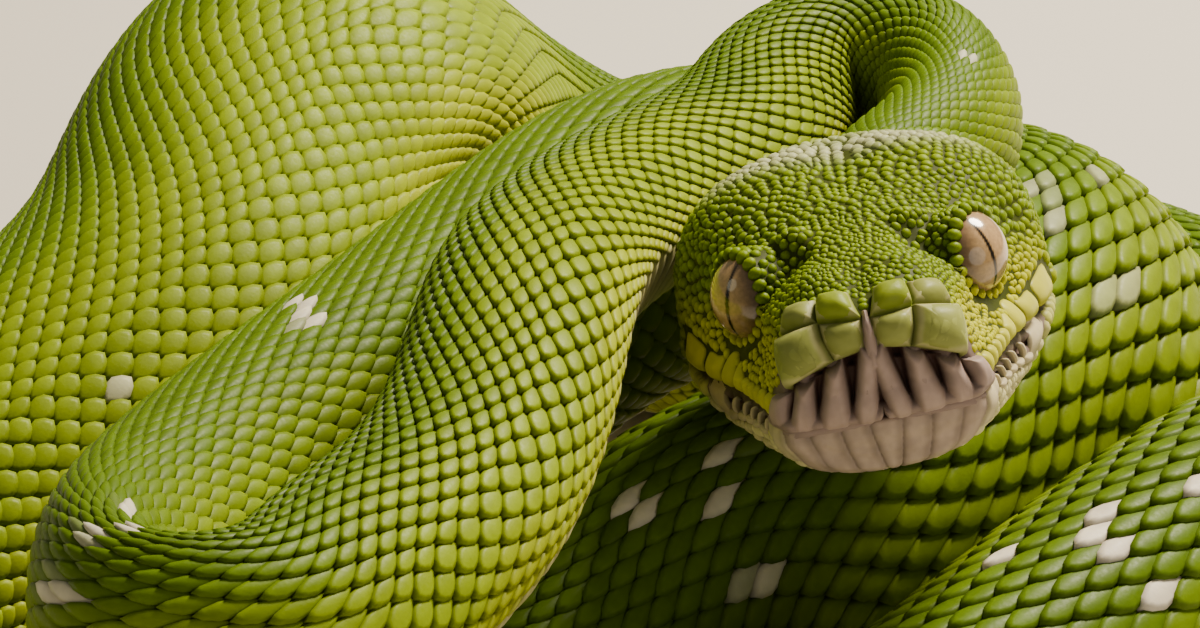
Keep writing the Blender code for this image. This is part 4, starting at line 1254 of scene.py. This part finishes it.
class FacePlatesOperator(bpy.types.Operator):
    """Plates of the snout, nostrils and lips, with deep pits between them, and the scales round each eye"""

    bl_idname = "tree_python.face_plates"
    bl_label = "Face Plates"

    def execute(self, context):
        colours = context.scene.python_colours
        rng = np.random.default_rng(SEED + 5)
        spokes, radii = 24, (0.3, 0.55, 0.75, 0.89, 0.97, 1.03)
        turn = np.linspace(0.0, TAU, spokes, endpoint=False)
        reach = (np.abs(np.cos(turn)) ** 5 + np.abs(np.sin(turn)) ** 5) ** -0.2
        s, t, ring = spread(radii, reach * np.cos(turn), reach * np.sin(turn))
        dome = np.where(ring > 1.0, -0.9, 1.0 - 0.92 * ring ** 3.2)
        template = fan_template(spokes, radii)
        groups = {"plates_upper": [], "plates_lower": []}
        every = face_plates()
        front = [plate for plate in every
                 if plate[0] != "side_lip" and abs(plate[2][0]) < 50.0 and abs(plate[3][0]) < 53.0]
        jaw = ("chin", "lower_lip")
        self.front_sheet(colours, "snout_plates", "skin", [plate for plate in front if plate[0] not in jaw])
        self.front_sheet(colours, "chin_plates", "lip", [plate for plate in front if plate[0] in jaw])
        for kind, thick, *corners in every:
            if not any(kind == plate[0] and corners == plate[2:] for plate in front):
                name = "plates_lower" if kind in jaw else "plates_upper"
                groups[name].append((kind, thick, corners))
        for name, plates in groups.items():
            corner = np.array([plate[2] for plate in plates])
            thick = np.array([plate[1] for plate in plates])
            shares = [(1 - s) * (1 - t) / 4, (1 + s) * (1 - t) / 4,
                      (1 + s) * (1 + t) / 4, (1 - s) * (1 + t) / 4]
            place = sum(share[None, :, None] * corner[:, k, None] for k, share in enumerate(shares))
            point, out = snake.face.sample(place[..., 1], np.radians(place[..., 0]))
            point = point + (thick[:, None] * dome[None] - PLATE_SINK)[..., None] * out
            tones = np.stack([plate_colour(colours, kind) for kind, _, _ in plates])
            tones = tones * (0.94 + 0.12 * rng.random(len(tones)))[:, None]
            # painted shade: each plate darker towards its edge and dark on its skirt
            shade = np.where(ring > 1.0, 0.3, np.where(ring > 0.93, 0.62, 1.0 - 0.1 * ring ** 4))
            faces = template[None] + (np.arange(len(plates)) * len(s))[:, None, None]
            faces = np.where((corner[:, 1, 0] > corner[:, 0, 0])[:, None, None], faces, faces[:, :, ::-1])
            piece = add_piece(name, to_world(head_to_pile(point.reshape(-1, 3))), faces.reshape(-1, 3),
                              scale_keratin("Lip and snout plate keratin, satin", 0.4, 0.5, 0.08))
            add_colour(piece, (tones[:, None] * shade[None, :, None]).reshape(-1, 3))
            centre = corner.mean(axis=1)
            middle = snake.face.sample(centre[:, 1], np.radians(centre[:, 0]))[0]
            uv = head_map(nearest_entries(middle))[:, None] + 0.0012 * np.stack([s, t], -1)[None]
            add_map(piece, uv.reshape(-1, 2))
        self.lid_scales(colours, rng)
        return {"FINISHED"}

    def front_sheet(self, colours, name, slot, plates):
        """The joined plates above or below the front of the mouth: one sheet over azimuth and elevation."""
        upper = name == "snout_plates"
        across = np.linspace(-FRONT_REACH, FRONT_REACH, 259)
        up = np.linspace(0.0, 1.0, 139 if upper else 91)
        azimuth, share = np.meshgrid(across, up)
        mouth = snake.mouth_at(azimuth)
        first, last = (mouth - 0.5, FRONT_REACH) if upper else (CHIN_FOOT, mouth + 0.5)
        elevation = first + share * (last - first)
        point, out = snake.face.sample(elevation, np.radians(azimuth))
        size = np.linalg.norm(point - FACE_MIDDLE, axis=-1)
        high, depth, which = front_relief(azimuth, elevation, size, plates)
        gap = (elevation - mouth) * np.radians(size)
        deep = pits(point)
        zone = (np.abs(azimuth) < PIT_REACH) & (elevation - mouth < 26.0 - 0.22 * np.abs(azimuth)) & upper
        floor = np.where(zone, -0.1 - 0.5 * deep, SHEET_EDGE)
        rise = np.maximum(high, floor) - (PLATE_SINK if upper else 0.0) - 0.5 * bump(gap, 0.35)
        point = point + rise[..., None] * out
        tone = np.stack([plate_colour(colours, plate[0]) for plate in plates])[which]
        # painted highlight: a pale rim just inside the edges of the nasal and leaf plates
        rim_highlight = rgb(colours.belly) * 0.9
        crest = np.isin(which, [k for k, plate in enumerate(plates) if plate[0] in ("nasal", "leaf")])
        rim = bump(depth - 0.45, 0.45) * crest
        tone = mix(tone, rim_highlight, 0.5 * rim)
        grain = value_noise(azimuth / 2.4 + 50.0, elevation / 2.4 + 50.0, SEED + 8)
        # painted shade: each plate darker towards its edge, with random grain in its tone
        tone = tone * (0.74 + 0.42 * smoothstep(0.05, 0.9, depth) + 0.14 * (grain - 0.5))[..., None]
        # painted shade: dark brown in the gaps between the plates, darker still in the pits
        dark = smoothstep(0.12, -0.5, high) * (0.7 + 0.3 * smoothstep(0.0, 0.5, deep))
        tone = mix(tone, rgb(colours.pit), np.clip(dark, 0.0, 1.0))
        rows, columns = azimuth.shape
        k = np.arange(rows * columns).reshape(rows, columns)
        faces = np.stack([k[:-1, :-1], k[:-1, 1:], k[1:, 1:], k[1:, :-1]], -1).reshape(-1, 4)
        a, b, c = (point.reshape(-1, 3)[faces[:, j]] for j in (0, 1, 2))
        turned = (np.cross(b - a, c - a) * out.reshape(-1, 3)[faces[:, 0]]).sum() < 0.0
        faces = faces[:, ::-1] if turned else faces
        piece = add_piece(name, to_world(head_to_pile(point.reshape(-1, 3))), faces,
                          scale_keratin("Snout plate keratin, satin", 0.42, 0.4, 0.12))
        add_colour(piece, tone.reshape(-1, 3))
        add_map(piece, np.stack([0.01 + 0.18 * (0.5 + azimuth / 360.0),
                                 0.02 + 0.3 * (elevation + 62.0) / 142.0], -1).reshape(-1, 2))

    def lid_scales(self, colours, rng):
        """Small scales in a ring round each eye, by the angle from the way the lids face and the turn."""
        spokes, radii = 10, (0.45, 0.8, 0.95, 1.05)
        corner_turn = np.linspace(0.0, TAU, spokes, endpoint=False)
        p, q, ring = spread(radii, np.cos(corner_turn), np.sin(corner_turn))
        edge = math.asin(LID_RADIUS / EYE_RADIUS)
        count = LID_SCALES
        for side, sign in (("right", -1.0), ("left", 1.0)):
            facing = unit(mirrored(LID_FACING, sign))
            up = unit(np.array((0.0, 0.0, 1.0)) - facing[2] * facing)
            across = np.cross(facing, up)
            about = (np.arange(count) + 0.5) * TAU / count
            bend = edge + 0.145 + 0.15 * p[None]
            psi = about[:, None] + 0.96 * math.pi / count * q[None]
            radial = np.cos(psi)[..., None] * up + np.sin(psi)[..., None] * across
            ray = np.cos(bend)[..., None] * facing + np.sin(bend)[..., None] * radial
            lift = np.where(ring > 1.0, -0.35, 0.42 * (1.0 - ring ** 2.6))
            reach = EYE_RADIUS + 0.30 + 0.9 * (bend - edge) + lift[None]
            centre = mirrored(EYE_CENTRE, sign)
            point = centre + reach[..., None] * ray
            faces = repeat_faces(fan_template(spokes, radii), len(p), count)
            piece = add_piece("lid_scales_" + side, to_world(head_to_pile(point.reshape(-1, 3))), faces,
                              scale_keratin("Lid scale keratin, satin", 0.42, 0.3, 0.1))
            tone = head_colour(colours, point[:, 0]) * (0.9 + 0.2 * rng.random(count))[:, None]
            # painted highlight and shade: each lid scale a little lighter in its middle, darker at its edge
            # and dark on its skirt
            shade = np.where(ring > 1.0, 0.3, np.where(ring > 0.9, 0.7, 1.05))
            add_colour(piece, (tone[:, None] * shade[None, :, None]).reshape(-1, 3))
            uv = head_map(nearest_entries(point[:, 0]))[:, None] + 0.0012 * np.stack([p, q], -1)[None]
            add_map(piece, uv.reshape(-1, 2))


def plate_colour(colours, kind):
    """Grey-mauve rostral, front lip and chin, grey-green nasals, yellow-green leaves and side lips."""
    muzzle, flank, lip, belly = map(rgb, (colours.muzzle, colours.flank, colours.lip, colours.belly))
    return {"rostral": muzzle, "lip": muzzle * 1.04, "rim": muzzle * 0.9,
            "nasal": 0.30 * muzzle + 0.70 * flank, "leaf": 0.10 * muzzle + 0.90 * flank,
            "side_lip": 0.85 * lip + 0.15 * belly,
            "lower_lip": 0.5 * belly + 0.5 * muzzle, "chin": 0.9 * muzzle + 0.1 * belly}[kind]


class EyesOperator(bpy.types.Operator):
    """Eyeballs under clear shields, each with a beige iris and an upright slit"""

    bl_idname = "tree_python.eyes"
    bl_label = "Eyes"

    def execute(self, context):
        sizes, colours = context.scene.python_sizes, context.scene.python_colours
        for side, sign in (("right", -1.0), ("left", 1.0)):
            polar = np.linspace(0.0, math.pi, 97)[1:-1]
            turn = np.linspace(0.0, TAU, 144, endpoint=False)
            a, b = np.meshgrid(polar, turn, indexing="ij")
            away = np.stack([np.cos(a) * sign, np.sin(a) * np.cos(b), np.sin(a) * np.sin(b)], -1)
            poles = np.array([[sign, 0.0, 0.0], [-sign, 0.0, 0.0]])
            ball = np.concatenate([away.reshape(-1, 3), poles]) * (sizes.eye_radius / MM)
            centre = mirrored(EYE_CENTRE, sign)
            faces = grid_faces(len(polar), len(turn))
            j = np.arange(len(turn))
            k = (j + 1) % len(turn)
            top, low = len(polar) * len(turn), (len(polar) - 1) * len(turn)
            faces = np.concatenate([faces, np.stack([np.full(len(turn), top), k, j], -1),
                                    np.stack([np.full(len(turn), top + 1), low + j, low + k], -1)])
            if sign > 0:
                faces = faces[:, ::-1]
            material = eye_material(f"Eye under a clear shield, {side}", colours)
            piece = add_piece("eyeball_" + side, to_world(head_to_pile(ball + centre)), faces,
                              material)
            gaze = unit(mirrored(GAZE, sign))
            spot = unit(ball)
            off = spot - (spot @ gaze)[:, None] * gaze
            level = off @ unit(np.cross(gaze, np.array([0.0, 0.0, 1.0])))
            height = off[:, 2]
            pupil = 1.0 - smoothstep(0.75, 1.25, np.hypot(np.abs(level) / SLIT[0], height / SLIT[1]))
            pupil = pupil * (spot @ gaze > 0)
            # painted shade: rim marks a dark ring round the edge of the iris, where the socket shades it
            rim = smoothstep(0.80, 0.98, np.linalg.norm(off, axis=1))
            # painted shade: the iris darkens towards its inner and lower side
            inner = smoothstep(0.10, 0.62, -sign * spot[:, 0] + 0.62) * 0.75
            inner = inner + 0.25 * smoothstep(0.1, -0.6, spot[:, 2])
            iris = mix(rgb(colours.iris), rgb(colours.pit), np.clip(inner, 0.0, 1.0))
            tone = mix(iris, rgb(colours.pupil), np.clip(pupil, 0, 1))
            tone = mix(tone, rgb(colours.pupil), 0.8 * np.where(spot @ gaze > 0, rim, 1.0))
            add_colour(piece, tone)
            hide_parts("eye_" + side)
        return {"FINISHED"}


def eye_material(name, colours):
    """Wet-looking clear keratin over a finely veined iris."""
    material, tree, shader = blank_material(name)
    place = add_node(tree, "ShaderNodeTexCoord").outputs["Object"]
    coat = add_node(tree, "ShaderNodeAttribute", {"attribute_name": "Coat"}).outputs["Color"]
    veins = add_node(tree, "ShaderNodeTexNoise", Vector=place, Scale=2500.0, Detail=5.0)
    value = add_node(tree, "ShaderNodeMapRange", None, Value=veins.outputs["Fac"], From_Min=0.3, From_Max=0.7,
                     To_Min=0.82, To_Max=1.15)
    tint = add_node(tree, "ShaderNodeHueSaturation", None, Color=coat, Value=value.outputs["Result"])
    tree.links.new(tint.outputs["Color"], shader.inputs["Base Color"])
    shader.inputs["Roughness"].default_value = 0.18
    shader.inputs["IOR"].default_value = 1.45
    shader.inputs["Coat Weight"].default_value = 1.0
    shader.inputs["Coat Roughness"].default_value = 0.04
    return material


class StageOperator(bpy.types.Operator):
    """Pale floor, soft lights and the camera"""

    bl_idname = "tree_python.stage"
    bl_label = "Stage"

    def execute(self, context):
        studio = context.scene.python_studio
        material, tree, shader = blank_material("Matt painted floor")
        place = add_node(tree, "ShaderNodeTexCoord").outputs["Object"]
        cloud = add_node(tree, "ShaderNodeTexNoise", Vector=place, Scale=6.0, Detail=3.0)
        value = add_node(tree, "ShaderNodeMapRange", None, Value=cloud.outputs["Fac"],
                         To_Min=0.97, To_Max=1.03)
        tint = add_node(tree, "ShaderNodeHueSaturation", None, Color=tuple(studio.floor),
                        Value=value.outputs["Result"])
        tree.links.new(tint.outputs["Color"], shader.inputs["Base Color"])
        shader.inputs["Roughness"].default_value = 0.75
        mesh = bpy.data.meshes.new("floor")
        mesh.from_pydata([(-3, -3, 0), (3, -3, 0), (3, 3, 0), (-3, 3, 0)], [], [(0, 1, 2, 3)])
        mesh.materials.append(material)
        floor = bpy.data.objects.new("floor", mesh)
        context.scene.collection.objects.link(floor)
        for name, place, aim, size, power, tone in LIGHTS:
            data = bpy.data.lights.new(name, "AREA")
            data.shape, data.size, data.energy, data.color = "DISK", size, power, linear(tone)[:3]
            lamp = bpy.data.objects.new(name, data)
            away = np.array(place) - np.array(aim)
            lamp.location = place
            lamp.rotation_euler = (math.acos(away[2] / np.linalg.norm(away)), 0.0,
                                   math.atan2(away[0], -away[1]))
            context.scene.collection.objects.link(lamp)
        world = bpy.data.worlds.new("studio")
        world.use_nodes = True
        world.node_tree.nodes["Background"].inputs["Color"].default_value = linear(ROOM_TONE)
        world.node_tree.nodes["Background"].inputs["Strength"].default_value = ROOM_STRENGTH
        context.scene.world = world
        data = bpy.data.cameras.new("camera")
        data.sensor_width, data.lens = 36.0, studio.lens
        data.clip_start, data.clip_end = 0.01, 20.0
        camera = bpy.data.objects.new("camera", data)
        camera.location = CAMERA_PLACE
        camera.rotation_euler = [math.radians(turn) for turn in CAMERA_TURN]
        context.scene.collection.objects.link(camera)
        context.scene.camera = camera
        return {"FINISHED"}


class PythonPanel(bpy.types.Panel):
    """Sizes, colours and pieces of the snake"""

    bl_idname = "VIEW3D_PT_tree_python"
    bl_label = "Tree Python"
    bl_space_type = "VIEW_3D"
    bl_region_type = "UI"
    bl_category = "Tree Python"

    def draw(self, context):
        for group in (context.scene.python_sizes, context.scene.python_colours, context.scene.python_studio):
            for name in group.__annotations__:
                self.layout.prop(group, name)
        for operator in OPERATORS:
            self.layout.operator(operator.bl_idname)


GROUPS = (("python_sizes", PythonSizes), ("python_colours", PythonColours), ("python_studio", StudioSettings))
OPERATORS = (SkinOperator, BodyScalesOperator, BellyScutesOperator, HeadScalesOperator, FacePlatesOperator,
             EyesOperator, StageOperator)


def register():
    """Register every class and hang the property groups on the scene."""
    for name, group in GROUPS:
        bpy.utils.register_class(group)
        setattr(bpy.types.Scene, name, bpy.props.PointerProperty(type=group))
    for item in (*OPERATORS, PythonPanel):
        bpy.utils.register_class(item)


def unregister():
    """Undo register."""
    for item in (PythonPanel, *reversed(OPERATORS)):
        bpy.utils.unregister_class(item)
    for name, group in reversed(GROUPS):
        delattr(bpy.types.Scene, name)
        bpy.utils.unregister_class(group)


def main():
    """Register every class, then build every piece in order."""
    register()
    for operator in OPERATORS:
        module, name = operator.bl_idname.split(".")
        getattr(getattr(bpy.ops, module), name)()


if __name__ == "__main__":
    main()
